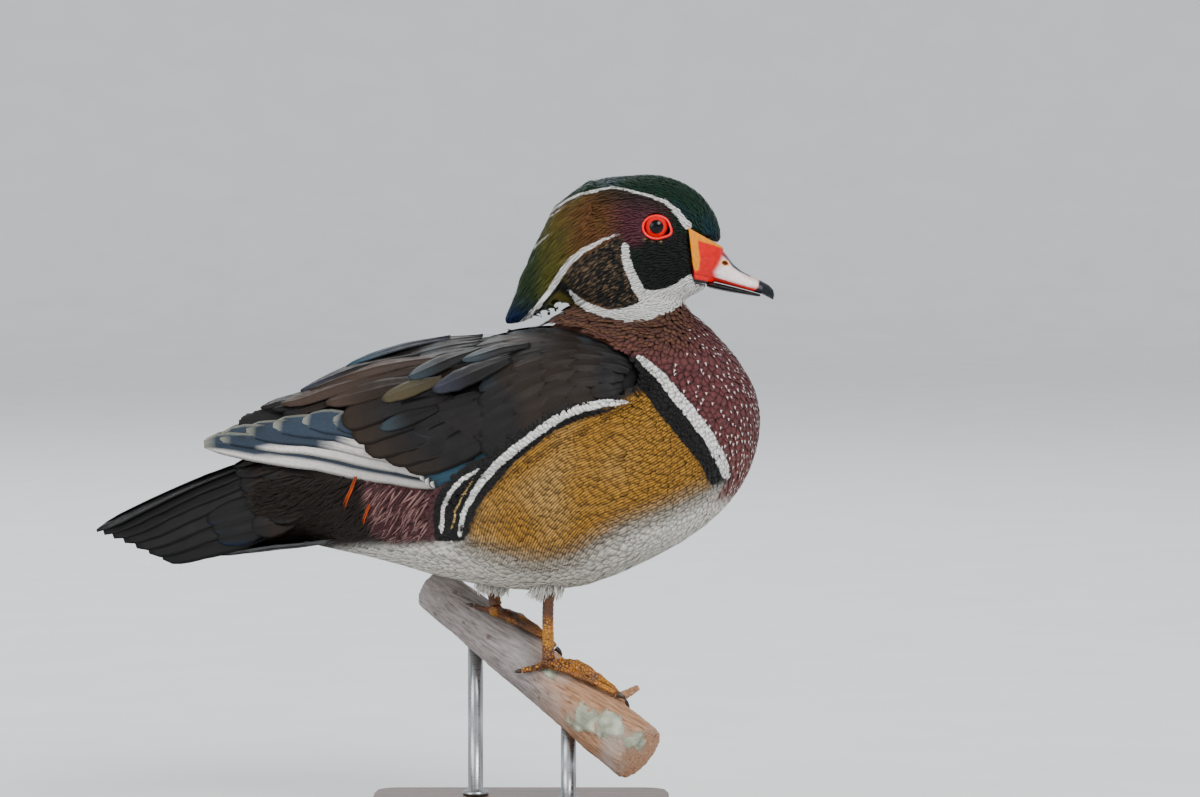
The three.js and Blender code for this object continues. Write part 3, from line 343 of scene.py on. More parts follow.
# Accents: lowest height, step up and rise, then root, tip, width, colour and colour of the tip
ACCENT_LAYERS = {"base": 1.9, "step": 0.12, "rise": 0.6}
ACCENTS = [
    ((-45, 234), (-100, 221), 13, "bronze_black", "brown"),
    ((-49, 240), (-124, 220), 13, "brown", "brown"),
    ((-40, 245), (-108, 227), 13, "brown", "bronze_black"),
    ((-52, 246), (-114, 228.5), 10, "wing_black", "violet"),
    ((-36, 255), (-90, 240), 10, "violet", "blue"),
    ((-42, 219), (-72, 208.4), 9, "wing_black", "blue_green"),
    ((-40, 234), (-70, 222.5), 11, "olive", "olive"),
    ((-20, 249), (-57, 233.5), 13, "wing_black", "blue_green"),
    ((6, 251), (-29, 242), 11, "wing_black", "blue_green"),
    ((-4, 244), (-44, 227), 14, "wing_black", "violet"),
]
# Coverts in rows: count, places, x of roots, x of tips, width and layer
ROWS_OF_COVERTS = [
    (7, (0.6, 0.97), (-8, 8), (-46, -14), 15, 0.9), (9, (0.2, 0.93), (14, 14), (-22, -18), 15, 1.3),
    (9, (0.12, 0.92), (30, 26), (-6, -4), 14, 1.7), (8, (0.1, 0.9), (44, 36), (12, 10), 13, 2.0),
    (7, (0.1, 0.9), (55, 46), (28, 24), 12, 2.2), (6, (0.12, 0.88), (60, 53), (42, 36), 10, 2.3),
    (6, (0.06, 0.4), (-20, -18), (-64, -52), 13, 1.0), (5, (0.04, 0.3), (-42, -40), (-90, -76), 12, 0.8),
    (4, (0.04, 0.26), (-62, -62), (-112, -98), 11, 0.6),
    (3, (0.05, 0.3), (-84, -84), (-136, -122), 9, 0.5),
]

# Tail feathers: the main row, the coverts over it (count, places, runs, width, height) and the coverts
# under it (count, half spread, runs, width, height), on a surface of half width and level along x
TAIL_MAIN = {"count": 7, "places": (0.05, 0.88), "width": 15, "height": 1.1}
TAIL_OVER = [(5, (0.06, 0.84), (-0.12, 0.24), 17, 1.6), (5, (0.1, 0.78), (-0.22, 0.1), 15, 2.2),
             (3, (0.66, 0.86), (0.02, 0.52), 13, 1.4)]
TAIL_UNDER = [(5, 0.9, (0, 0.5), 15, 0.6), (4, 0.75, (0.18, 0.72), 14, 0.3), (3, 0.5, (0.4, 0.97), 14, 0)]
UNDER_REACH = (-96.0, -192.0)
UNDER_HALF = [(-192, 12), (-150, 19), (-120, 23), (-96, 20)]
UNDER_LEVEL = [(-192, 143.4), (-175, 142.2), (-150, 143.6), (-125, 147), (-110, 148.2), (-96, 149.5)]

# Orange side plumes: root and tip in side view. Down at the thighs
PLUMES = [((-88.5, 187), (-95.5, 165.5)), ((-80, 171), (-85, 154))]
PLUME = {"hairs": 4, "rows": 8, "fan": 0.35, "half": 0.36, "thick": 0.5, "lift": 1.5, "out": 45.0,
         "colour": "orange", "shade": 0.15}
DOWN = {
    "count": 420, "rows": 5, "reach": (2.5, 9), "long": (3.5, 8), "half": 0.75, "thick": 0.4,
    "level": 128.0, "sunk": 0.8, "colour": "belly", "shade": 0.12,
}

# Bill
BILL_YELLOW = [
    (82, 318), (89.3, 315.6), (93.3, 312.6), (98.2, 309.6), (105.4, 304.2), (105.2, 302.4),
    (100.2, 304.5), (96.2, 305.6), (92.2, 307), (92.7, 301.9), (93.4, 297), (92.7, 291.6), (91, 291),
    (84, 305),
]
BILL_NAIL = [(124.4, 290), (134, 290), (134, 270), (120.8, 276), (121, 280), (123.6, 282.6), (124, 285.4)]
BILL_PALE = [(105.4, 298), (108.7, 296), (112.2, 292.4), (119.6, 288), (124.4, 285.8), (123.4, 282.8),
             (118.6, 282.4), (110.2, 284.6), (102.4, 287), (101.2, 290.5), (103.7, 294)]
BILL_LOW_EDGE = [(90, 287.2), (102, 284.6), (112, 281.6), (121, 279.2)]
CULMEN = [
    (102.4, 300.6, 2.6), (105.6, 297.8, 3.2), (110, 294.2, 1.8), (114.6, 291, 1.6), (119.6, 288.4, 1.2),
]
MOUTH_RED = [(90.4, 288.4, 2.6), (102.2, 286, 2.6), (112.2, 283, 2.6), (121, 280.6, 2.2)]
NOSTRIL = (106.4, 295)

# Branch: its heading and slope in degrees, how far its grooves are drawn out along it, their depth and the
# crust's height, how near the feet it is smooth, and its lichen: place in side view and size
BARK = {"yaw": -35.0, "slope": 31.1, "drawn": 0.82, "deep": 0.85, "crust": 0.45, "grip": (2.5, 5.0)}
LICHEN = [((33, 60), 13), ((46, 58), 12), ((60, 50), 9), ((16, 84), 7)]

# Stand rods: radius, as a share of the node's, and height above the foot
ROD_FOOT = [(1.7, 0), (1.75, 1.2), (1.55, 2.4), (1, 3.2)]


def tone(code):
    """The linear colour of a name in TONES or of a hex code, a little stronger as soft light pales it."""
    code = TONES.get(code, code)
    parts = [int(code[i:i + 2], 16) / 255 for i in (0, 2, 4)]
    colour = np.array([c / 12.92 if c <= 0.04045 else ((c + 0.055) / 1.055) ** 2.4 for c in parts])
    middle = colour.mean()
    return np.clip(middle + (colour - middle) * VIVID, 0, 1)


def mix(a, b, t):
    return a + (b - a) * t


def smooth(low, high, value):
    t = np.clip((value - low) / (high - low), 0, 1)
    return t * t * (3 - 2 * t)


def unit(vectors):
    return vectors / np.maximum(np.linalg.norm(vectors, axis=-1, keepdims=True), 1e-9)


def hashed(points, scale):
    """A soft random value from 0 to 1 that changes over about the given length."""
    flat = points.reshape(-1, 3) / scale
    values = np.fromiter((noise.noise(p) for p in flat.tolist()), float, len(flat))
    return (values * 0.5 + 0.5).reshape(points.shape[:-1])


# Lines and areas in side view

def to_line(x, z, line):
    """Distance to a line of (x, z, width) points, and the width there."""
    best = np.full(x.shape, 1e9)
    width = np.zeros(x.shape)
    for (ax, az, aw), (bx, bz, bw) in zip(line, line[1:]):
        dx, dz = bx - ax, bz - az
        t = np.clip(((x - ax) * dx + (z - az) * dz) / (dx * dx + dz * dz), 0, 1)
        away = np.hypot(x - ax - t * dx, z - az - t * dz)
        near = away < best
        best = np.where(near, away, best)
        width = np.where(near, mix(aw, bw, t), width)
    return best, width


def inside_line(x, z, line):
    """How far inside a line's edge a place is, less than 0 outside."""
    away, width = to_line(x, z, line)
    return width / 2 - away


def inside_area(x, z, area):
    inside = np.zeros(x.shape, bool)
    for (ax, az), (bx, bz) in zip(area, area[1:] + area[:1]):
        crosses = (az > z) != (bz > z)
        slope = (bx - ax) / (bz - az if bz != az else 1e-9)
        inside ^= crosses & (x < ax + (z - az) * slope)
    away, _ = to_line(x, z, [(*p, 0) for p in area + area[:1]])
    return np.where(inside, away, -away)


def on_line(x, z, line, soft=0.5):
    return smooth(-soft, soft, inside_line(x, z, line))


def in_area(x, z, area, soft=0.8):
    return smooth(-soft, soft, inside_area(x, z, area))


def level_at(x, line):
    """The height of a line of (x, z) points, in the order of x, at some x."""
    xs, zs = zip(*line)
    return np.interp(x, xs, zs)


def side_view(points):
    """Where a point shows from the side, a little below level, as (x, z)."""
    out = np.abs(points[..., 1])
    grow = 1 + out / CAMERA["distance"]
    tx, _, tz = CAMERA["target"]
    x = tx + (points[..., 0] - tx) * grow
    z = tz + (points[..., 2] - tz) * grow - math.tan(math.radians(CAMERA["elevation"])) * out
    return x, z


class Paint:
    """Colours of many points, laid on one over another. White and black marks are kept as the distance
    inside their edge, so that they stay sharp between the points."""

    def __init__(self, shape, base):
        self.colour = np.tile(tone(base), shape + (1,))
        self.lines = np.zeros(shape)
        self.gloss = np.zeros(shape)
        self.white = np.full(shape, -FAR)
        self.black = np.full(shape, -FAR)
        self.fleck = np.zeros(shape)

    def mark_white(self, inside):
        self.white = np.maximum(self.white, np.clip(inside, -FAR, FAR))

    def mark_black(self, inside):
        self.black = np.maximum(self.black, np.clip(inside, -FAR, FAR))

    def lay(self, mask, colour, gloss=None, lines=None):
        colour = tone(colour) if isinstance(colour, str) else colour
        self.colour = mix(self.colour, colour, mask[..., None])
        if gloss is not None:
            self.gloss = mix(self.gloss, gloss, mask)
        if lines is not None:
            self.lines = mix(self.lines, lines, mask)


def paint_body(points):
    x, z = side_view(points)
    paint = Paint(x.shape, "back")
    paint.gloss += 0.25
    paint.lay(in_area(x, z, BELLY_TOP, 5), "belly", 0)
    # The belly greyer towards the bottom
    shade = smooth(178, 120, points[..., 2]) * 0.5
    paint.lay(shade * in_area(x, z, BELLY_TOP, 5), "belly_shade")
    # Rump, tail base and the burgundy patch beside them
    rump = smooth(-40, -48, x) * smooth(146, 152, z)
    paint.lay(rump, "tail_base", 0.1)
    paint.lay(in_area(x, z, RUMP_PATCH, 3), "rump", 0.15)
    # Breast and neck
    breast = in_area(x, z, BREAST, 1.6)
    low = smooth(215, 175, z)
    paint.lay(breast, mix(tone("breast"), tone("breast_low"), low[..., None]), 0.25)
    neck = breast * smooth(238, 262, z) * smooth(100, 78, x)
    paint.lay(neck * 0.85, "neck", 0.15)
    bars = 0.5 + 0.5 * np.sin(z * 1.25 + x * 0.35 + 3 * hashed(points, 9))
    paint.lay(neck * smooth(0.62, 0.95, bars) * 0.55, "neck_buff")
    paint.lay(breast * smooth(176, 166, z), "belly", 0)
    # Flank
    gold = in_area(x, z, FLANK, 2.2)
    pale = smooth(0.35, 0.75, hashed(points, 26)) * smooth(80, 10, x) * 0.55
    paint.lay(gold, mix(tone("flank"), tone("flank_pale"), pale[..., None]), 0, 1)
    away, _ = to_line(x, z, [(*p, 0) for p in FLANK[9:16]])
    fade = gold * (1 - smooth(1, 9, away)) * smooth(190, 175, z)
    paint.lay(fade * 0.55, "belly_shade", 0, 0.8)
    fringe = in_area(x, z, BELLY_TOP, 1.5) * (1 - smooth(2, 11, away))
    fringe = fringe * smooth(110, 95, x) * smooth(-44, -30, x)
    paint.lay(fringe * 0.75, "belly_shade", 0, 0.75)
    # Black and white bars
    above = smooth(-0.5, 1.5, z - level_at(x, BACK_EDGE))
    paint.lay(above * smooth(62, 56, x) * (1 - breast), "black", 0.3, 0)
    cream = inside_line(x, z, CREAM_LINE)
    paint.lay(smooth(-2.2, -1.2, cream), "cream", 0, 0)
    for area in (BAR_BLACK, REAR_BLACK):
        paint.mark_black(inside_area(x, z, area))
    paint.mark_black(inside_line(x, z, STRIPE_BLACK))
    paint.black = np.minimum(paint.black, -cream)
    for line in (SHOULDER_BAR, FLANK_STRIPE, SECOND_STRIPE):
        paint.mark_white(inside_line(x, z, line))
    return paint


def paint_head(points):
    x, z = side_view(points)
    paint = Paint(x.shape, "cheek_purple")
    paint.gloss += 0.75
    wander = hashed(points, 14)
    # Purple behind the eye, bronze and gold green down the crest, blue at its edge and tip
    down = smooth(38, 12, x * 0.72 + z * 0.1 - 22)
    paint.lay(smooth(58, 40, x) * 0.7, "bronze")
    paint.lay(down * 0.75, "gold_green")
    paint.lay(smooth(16, 4, x) * 0.8, "crown")
    tip = smooth(282, 266, z + 0.25 * x)
    paint.lay(tip * smooth(40, 20, x), "crest_blue")
    paint.lay(smooth(0.45, 0.8, wander) * 0.35 * smooth(60, 20, x), "gold_green")
    brow_z = level_at(x, BROW_LEVEL)
    crown = smooth(-2.5, 2.5, z - brow_z)
    paint.lay(smooth(-14, -2, z - brow_z) * smooth(30, 45, x) * 0.6, "face_green")
    paint.lay(crown, "crown", 0.8)
    paint.lay(crown * smooth(0.5, 0.85, hashed(points + 50, 18)) * 0.8, "crown_blue", 0.8)
    # Dark face, in front of the cheek spur
    face = smooth(52, 58, x) * smooth(307, 300, z) + smooth(76, 82, x) * smooth(2, -3, z - brow_z)
    paint.lay(np.clip(face, 0, 1), "face", 0.5)
    green = smooth(0.42, 0.75, hashed(points - 30, 16))
    paint.lay(np.clip(face, 0, 1) * green * 0.7, "face_green", 0.6)
    lores = smooth(60, 66, x) * smooth(311, 305, z)
    paint.lay(lores, "face", 0.5)
    # Cheek with buff mottling, and the black behind it
    paint.lay(in_area(x, z, NAPE_BLACK, 0.7), "black", 0.2)
    cheek = in_area(x, z, CHEEK, 0.7)
    paint.lay(cheek, "black", 0.15)
    spots = smooth(0.55, 0.63, hashed(points * np.array([1, 1, 1.5]), 1.7))
    paint.lay(cheek * spots * 0.62, "mottle", 0)
    # White lines
    for line in (BROW, BROW_STREAK, NAPE_STREAK, CREST_STRIPE, CHEEK_SPUR, COLLAR):
        paint.mark_white(inside_line(x, z, line) - HEAD_LINE_TRIM)
    paint.mark_white(inside_area(x, z, THROAT))
    for dot in EYE_DOTS:
        paint.lay(on_line(x, z, [dot, (dot[0] + 0.6, dot[1], dot[2])], 0.3), "mottle", 0)
    # Painted shade: the skin dark inside the eye's ring, sunk between ball and ring
    paint.lay(smooth(0.1, -0.4, eye_room(x, z)), "groove", 0)
    return paint


# Meshes

def placed(name, data):
    """A new object in the scene."""
    thing = bpy.data.objects.new(name, data)
    bpy.context.scene.collection.objects.link(thing)
    return thing


def new_mesh(name, points, quads, rings=None):
    """A mesh object from points in millimetres, four-sided faces and, if any, many-sided ones."""
    mesh = bpy.data.meshes.new(name)
    mesh.vertices.add(len(points))
    mesh.vertices.foreach_set("co", (points * MM).astype(np.float32).ravel())
    loops = [quads.ravel()]
    totals = [np.full(len(quads), quads.shape[1])]
    if rings is not None:
        loops.append(rings.ravel())
        totals.append(np.full(len(rings), rings.shape[1]))
    loops = np.concatenate(loops)
    totals = np.concatenate(totals)
    mesh.loops.add(len(loops))
    mesh.loops.foreach_set("vertex_index", loops.astype(np.int32))
    mesh.polygons.add(len(totals))
    mesh.polygons.foreach_set("loop_start", (np.cumsum(totals) - totals).astype(np.int32))
    mesh.polygons.foreach_set("loop_total", totals.astype(np.int32))
    mesh.update(calc_edges=True)
    mesh.validate()
    mesh.shade_smooth()
    return placed(name, mesh)


def keep_colour(mesh, name, values):
    rgba = np.ones((len(values), 4), np.float32)
    rgba[:, :3] = values
    mesh.attributes.new(name, "FLOAT_COLOR", "POINT").data.foreach_set("color", rgba.ravel())


def keep_value(mesh, name, values):
    mesh.attributes.new(name, "FLOAT", "POINT").data.foreach_set("value", values.astype(np.float32))


def keep_paint(mesh, paints, phase):
    """Keep the paint of a mesh's parts in turn at its points, and their distance from the flank's rear."""
    keep_colour(mesh, "Paint", np.concatenate([paint.colour.reshape(-1, 3) for paint in paints]))
    for name in ("lines", "gloss", "white", "black", "fleck"):
        values = [getattr(paint, name).ravel() for paint in paints]
        keep_value(mesh, name.capitalize(), np.concatenate(values))
    keep_value(mesh, "Phase", phase)


def keep_map(mesh, name, places):
    """A UV map from one place for each vertex."""
    corners = np.zeros(len(mesh.loops), np.int32)
    mesh.loops.foreach_get("vertex_index", corners)
    mesh.uv_layers.new(name=name).data.foreach_set("uv", places[corners].astype(np.float32).ravel())


def points_of(thing):
    values = np.zeros(len(thing.data.vertices) * 3, np.float32)
    thing.data.vertices.foreach_get("co", values)
    return values.reshape(-1, 3).astype(float) / MM


def move_points(thing, points):
    thing.data.vertices.foreach_set("co", (points * MM).astype(np.float32).ravel())
    thing.data.update()


def normals_of(thing):
    values = np.zeros(len(thing.data.vertices) * 3, np.float32)
    thing.data.vertex_normals.foreach_get("vector", values)
    return values.reshape(-1, 3).astype(float)


def circle(count):
    """Evenly spaced angles round a full turn."""
    return np.linspace(0, 2 * math.pi, count, endpoint=False)


def loft_quads(rows, sides):
    """Faces between neighbouring rings, each with the same number of sides."""
    side = np.arange(sides)
    row = np.arange(rows - 1)[:, None] * sides
    a, b = row + side, row + (side + 1) % sides
    return np.stack([a, b, b + sides, a + sides], -1).reshape(-1, 4)


def closed_loft(name, rings):
    """A closed mesh object through rings of points."""
    count, sides, _ = rings.shape
    side = np.arange(sides)
    caps = np.stack([side[::-1], (count - 1) * sides + side])
    return new_mesh(name, rings.reshape(-1, 3), loft_quads(count, sides), caps)


def tree_of(points):
    tree = KDTree(len(points))
    for i, point in enumerate(points.tolist()):
        tree.insert(point, i)
    tree.balance()
    return tree


def middle_of(node):
    low, high = (np.array(corner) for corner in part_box(node))
    return (low + high) / 2 / MM


def combined(name, meshes):
    """One mesh object holding copies of several meshes."""
    bm = bmesh.new()
    for mesh in meshes:
        bm.from_mesh(mesh)
    bmesh.ops.remove_doubles(bm, verts=bm.verts, dist=1e-6)
    mesh = bpy.data.meshes.new(name)
    bm.to_mesh(mesh)
    bm.free()
    return placed(name, mesh)


def remeshed(thing, voxel, rounds):
    """The thing as one even skin of small faces, smoothed."""
    remesh = thing.modifiers.new("remesh", "REMESH")
    remesh.mode = "VOXEL"
    remesh.voxel_size = voxel * MM
    if rounds:
        soften = thing.modifiers.new("soften", "SMOOTH")
        soften.iterations = rounds
        soften.factor = 0.5
    ready = thing.evaluated_get(bpy.context.evaluated_depsgraph_get())
    mesh = bpy.data.meshes.new_from_object(ready)
    thing.modifiers.clear()
    thing.data = mesh
    mesh.shade_smooth()
    return thing


def finer(frame, node, name, kind):
    """A finer, smoothed copy of a node's solid."""
    voxel, rounds = FINE[kind]
    return remeshed(combined(name, [frame["nodes"][node].data]), voxel, rounds)


def finished(thing, material, slot, *replaced):
    thing.data.materials.clear()
    thing.data.materials.append(material)
    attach(thing, "root")
    if replaced:
        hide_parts(*replaced)
    return thing


# Feathers

def outline_round(t):
    wide = mix(0.5, 1, np.minimum(t / 0.45, 1))
    return wide * np.sqrt(np.clip(1 - (np.maximum(t - 0.55, 0) / 0.46) ** 2, 0.01, 1))


def outline_long(t):
    wide = mix(0.6, 1, np.minimum(t / 0.3, 1))
    return wide * np.sqrt(np.clip(1 - (np.maximum(t - 0.78, 0) / 0.23) ** 2, 0.01, 1))


def outline_hair(t):
    return mix(0.8, 1, np.minimum(t / 0.3, 1)) * (1 - 0.9 * np.maximum(t - 0.35, 0) / 0.65)


OUTLINES = {"round": outline_round, "long": outline_long, "hair": outline_hair}


class Vanes:
    """Closed thin vanes along middle lines, all with the same number of rows and lanes."""

    def __init__(self, middle, across, normal, half, thick, camber=0.0, shaft=0.0, edge=None):
        count, rows, _ = middle.shape
        top = np.array(SHAFT_LANES if shaft else PLAIN_LANES, float)
        lane = np.concatenate([top, top[-2:0:-1]])
        face = np.concatenate([np.ones(len(top)), -np.ones(len(top) - 2)])
        body = np.sqrt(np.clip(1 - lane ** 2, 0, 1))
        ridge = np.exp(-(lane / 0.05) ** 2) * shaft
        steps = np.linspace(0, 1, rows)
        taper = mix(1, 0.45, steps)
        wide = half if edge is None else half * edge
        rise = face * (body * thick / 2 + ridge * (face > 0)) * taper[:, None]
        rise = rise - camber * np.abs(lane) ** 2 * np.ones((rows, 1))
        self.points = (middle[:, :, None] + across[:, :, None] * (wide[..., None] * lane)[..., None]
                       + normal[:, :, None] * rise[None, ..., None])
        self.lane = np.broadcast_to(lane, self.points.shape[:3])
        self.t = np.broadcast_to(steps[None, :, None], self.points.shape[:3])
        self.half = np.broadcast_to(half.max(axis=1)[:, None, None], self.points.shape[:3])
        reach = np.linalg.norm(np.diff(middle, axis=1), axis=2).sum(axis=1)
        self.reach = np.broadcast_to(reach[:, None, None], self.points.shape[:3])
        self.roots = middle[:, 0]
        self.count, self.rows, self.ring = count, rows, len(lane)

    def faces(self):
        """The vanes' four-sided faces and their two end faces."""
        ring = np.arange(self.ring)
        caps = np.stack([ring[::-1], (self.rows - 1) * self.ring + ring])
        shift = np.arange(self.count)[:, None, None] * self.rows * self.ring
        quads = (loft_quads(self.rows, self.ring) + shift).reshape(-1, 4)
        return quads, (caps + shift).reshape(-1, self.ring)


def coat_piece(name, flocks, place_of, material, slot, mirrored=False):
    """Flocks of painted vanes as one mesh. In the bake map each vane is a small patch at its root."""
    points, quads, caps, bake, barbs = [], [], [], [], []
    start = 0
    for vanes, _ in flocks:
        faces, ends = vanes.faces()
        points.append(vanes.points.reshape(-1, 3))
        quads.append(faces + start)
        caps.append(ends + start)
        start += len(points[-1])
        patch = np.stack([vanes.t - 0.5, vanes.lane / 2], -1) * PATCH
        bake.append((place_of(vanes.roots)[:, None, None] + patch).reshape(-1, 2))
        barb = np.stack([vanes.t * vanes.reach, vanes.lane * vanes.half], -1) / MAP_UNIT
        barbs.append(barb.reshape(-1, 2))
    points, quads, caps = np.concatenate(points), np.concatenate(quads), np.concatenate(caps)
    if mirrored:
        points[:, 1] *= -1
        quads, caps = quads[:, ::-1], caps[:, ::-1]
    thing = new_mesh(name, points, quads, caps)
    x, z = side_view(points)
    keep_paint(thing.data, [paint for _, paint in flocks], to_line(x, z, FLANK_REAR)[0])
    keep_map(thing.data, "OFBake", np.concatenate(bake))
    keep_map(thing.data, "Vane", np.concatenate(barbs))
    return finished(thing, material, slot)


def round_axis(points, start, end, level):
    """A skin unwrapped round a level axis: how far along it, and the angle round it."""
    along = (points[:, 0] - start) / (end - start)
    angle = np.arctan2(points[:, 1], points[:, 2] - level) / (2 * math.pi) + 0.5
    return np.stack([0.02 + 0.96 * along, 0.02 + 0.96 * angle], -1)


def on_axis(axis):
    """The unwrap round one of the named axes."""
    return lambda roots: round_axis(roots, *axis)


def lie_at(points):
    """The way the feathers lie at points of the body."""
    x, z = points[:, 0, None], points[:, 2, None]
    weight = 1 / ((x - LIE[:, 0]) ** 2 + (z - LIE[:, 1]) ** 2 + 9) ** 1.6
    flow = np.zeros((len(points), 3))
    flow[:, 0] = (weight * LIE[:, 2]).sum(1)
    flow[:, 2] = (weight * LIE[:, 3]).sum(1)
    return unit(flow)


class Form:
    """The bird's outer shape, which the coat follows."""

    def __init__(self, thing):
        self.points = points_of(thing)
        mesh = thing.data
        mesh.calc_loop_triangles()
        corners = np.zeros(len(mesh.loop_triangles) * 3, np.int32)
        mesh.loop_triangles.foreach_get("vertices", corners)
        self.triangles = corners.reshape(-1, 3)
        self.tree = BVHTree.FromPolygons(self.points.tolist(), self.triangles.tolist())
        self.normals = normals_of(thing)
        a, b, c = (self.points[self.triangles[:, i]] for i in range(3))
        self.areas = np.linalg.norm(np.cross(b - a, c - a), axis=1) / 2

    def scatter(self, spacing, allowed, rng):
        """Even random places on the form, at the spacing that a function gives for each point."""
        finest = 0.5 * spacing(self.points).min() ** 2
        count = int(self.areas.sum() / finest)
        pick = rng.choice(len(self.areas), count, p=self.areas / self.areas.sum())
        r1, r2 = np.sqrt(rng.random(count)), rng.random(count)
        weights = np.stack([1 - r1, r1 * (1 - r2), r1 * r2], -1)
        corners = self.points[self.triangles[pick]]
        spots = (corners * weights[..., None]).sum(1)
        spots = spots[allowed(spots)]
        gaps = spacing(spots)
        return spots[spread_out(spots, gaps)]

    def nearest(self, points):
        flat = points.reshape(-1, 3)
        found = [self.tree.find_nearest(p) for p in flat.tolist()]
        places = np.array([f[0][:] for f in found])
        faces = np.array([f[2] for f in found])
        corners = self.points[self.triangles[faces]]
        rest = self.normals[self.triangles[faces]]
        away = 1 / (np.linalg.norm(corners - places[:, None], axis=2) + 0.05)
        normal = unit((rest * away[..., None]).sum(1))
        return places.reshape(points.shape), normal.reshape(points.shape)


def spread_out(spots, gaps):
    """Which spots to keep so that none is nearer to another than its gap."""
    tree = tree_of(spots)
    free = np.ones(len(spots), bool)
    kept = []
    places = spots.tolist()
    for i in range(len(spots)):
        if not free[i]:
            continue
        kept.append(i)
        for _, j, _ in tree.find_range(places[i], gaps[i]):
            free[j] = False
    return np.array(kept, int)


def lay_coat(form, roots, long, wide, rng, outline, lift, wander, thick, rows=5, depth=1.4, bend=0.55,
             uneven=0.3, raised=None):
    """Vanes rooted under the form at the roots, which rise to its surface and follow it."""
    count = len(roots)
    _, normal = form.nearest(roots)
    flow = lie_at(roots) + rng.normal(0, wander, (count, 3))
    flow = unit(flow - (flow * normal).sum(1)[:, None] * normal)
    long = long * rng.uniform(0.85, 1.15, count)
    wide = wide * rng.uniform(0.85, 1.15, count)
    steps = np.linspace(0, 1, rows)
    middle = np.zeros((count, rows, 3))
    normals = np.zeros((count, rows, 3))
    spot = roots.copy()
    heading = flow
    for row in range(rows):
        if row:
            spot = spot + heading * (long / (rows - 1))[:, None]
        near, out = form.nearest(spot)
        back = near - spot
        limit = 0.55 * long / (rows - 1)
        far = np.linalg.norm(back, axis=1)
        back *= np.minimum(1, limit / np.maximum(far, 1e-6))[:, None]
        spot = spot + back
        if row:
            heading = unit(mix(heading, unit(spot - middle[:, row - 1]), 0.5))
        heading = unit(heading - (heading * out).sum(1)[:, None] * out * 0.8)
        middle[:, row] = spot
        normals[:, row] = out
    rise = mix(-depth, 0, smooth(0, bend, steps) if bend else steps)
    rise = (rise + lift * steps ** 2)[None] * rng.uniform(1 - uneven, 1 + uneven, count)[:, None]
    if raised is not None:
        rise = rise + raised(middle)
    lifted = middle + normals * rise[..., None]
    along = unit(np.gradient(lifted, axis=1))
    across = unit(np.cross(normals, along))
    half = (wide[:, None] / 2) * OUTLINES[outline](steps)[None, :]
    return Vanes(lifted, across, unit(np.cross(along, across)), half, thick)


# Wing and tail surfaces

def station(rows, place):
    """Rows of a station table at fractional places, on smooth curves through them."""
    last = len(rows) - 1
    at = np.clip(place, 0, last)
    i = np.minimum(at.astype(int), last - 1)
    t = (at - i)[..., None]
    p1, p2 = rows[i], rows[i + 1]
    p0 = np.where((i > 0)[..., None], rows[np.maximum(i - 1, 0)], 2 * p1 - p2)
    p3 = np.where((i + 2 <= last)[..., None], rows[np.minimum(i + 2, last)], 2 * p2 - p1)
    bend = (2 * p0 - 5 * p1 + 4 * p2 - p3) * t * t + (3 * p1 - p0 - 3 * p2 + p3) * t ** 3
    return 0.5 * (2 * p1 + (p2 - p0) * t + bend)


def wing_surface(place, run, depth=0.0):
    """The near wing: place 0 at the back's middle line to 1 at the lower edge, run 0 to 1 to the tip."""
    row = station(WING, run * (len(WING) - 1))
    x, top_y, top_z, low_y, low_z, bulge, _ = np.moveaxis(row, -1, 0)
    swell = bulge * np.sin(math.pi * np.clip(place, 0.001, 0.999)) ** 0.8 - depth
    out_y, out_z = top_z - low_z, low_y - top_y
    size = np.hypot(out_y, out_z)
    y = mix(top_y, low_y, place) + out_y / size * swell
    z = mix(top_z, low_z, place) + out_z / size * swell
    return np.stack([x, -y, z], -1)


def tail_surface(place, run):
    """The tail: place from -1 at its left edge over the ridge to 1 at its right, run 0 to 1 to the tip."""
    side = np.sign(place + 1e-9)
    angle = np.abs(place) * math.pi / 2
    ends = []
    for end, power in ((TAIL_ROOT, 1.0), (TAIL_TIP, 1.3)):
        ends.append(np.stack([
            end["x"] + end["sweep"] * np.abs(place) ** power,
            end["middle"] + end["y"] * np.sin(angle),
            end["low"] + end["rise"] * np.cos(angle),
        ], -1))
    out = np.stack([np.zeros_like(angle), np.sin(angle), np.cos(angle)], -1)
    swell = (TAIL_BULGE * np.sin(math.pi * np.clip(run, 0, 1)))[..., None]
    point = mix(ends[0], ends[1], run[..., None]) + out * swell
    point[..., 1] *= -side
    return point


def lay_on(surface, specs, rng, rows, outline, thick, shaft, camber):
    """Long vanes on a surface. A spec is (place, run) at root and tip, width, height at root and tip."""
    steps = np.linspace(0, 1, rows)
    place = mix(specs[:, 0, None], specs[:, 2, None], steps)
    run = mix(specs[:, 1, None], specs[:, 3, None], steps)
    middle = surface(place, run)
    step = 0.004
    along = unit(surface(mix(specs[:, 0, None], specs[:, 2, None], steps + step),
                         mix(specs[:, 1, None], specs[:, 3, None], steps + step)) - middle)
    side = surface(place + step, run) - surface(place - step, run)
    side = unit(side - (side * along).sum(-1)[..., None] * along)
    normal = np.cross(side, along)
    inward = normal[..., 1] * np.sign(middle[..., 1]) + normal[..., 2] < 0
    normal = normal * np.where(inward, -1, 1)[..., None]
    height = mix(specs[:, 5, None], specs[:, 6, None], smooth(0, 0.5, steps)[None])
    middle = middle + normal * height[..., None]
    half = specs[:, 4, None] / 2 * OUTLINES[outline](steps)[None]
    edge = 1 + EDGE_UNEVEN * rng.normal(size=half.shape)
    return Vanes(middle, side, normal, half, thick, camber, shaft, edge)


# Skin

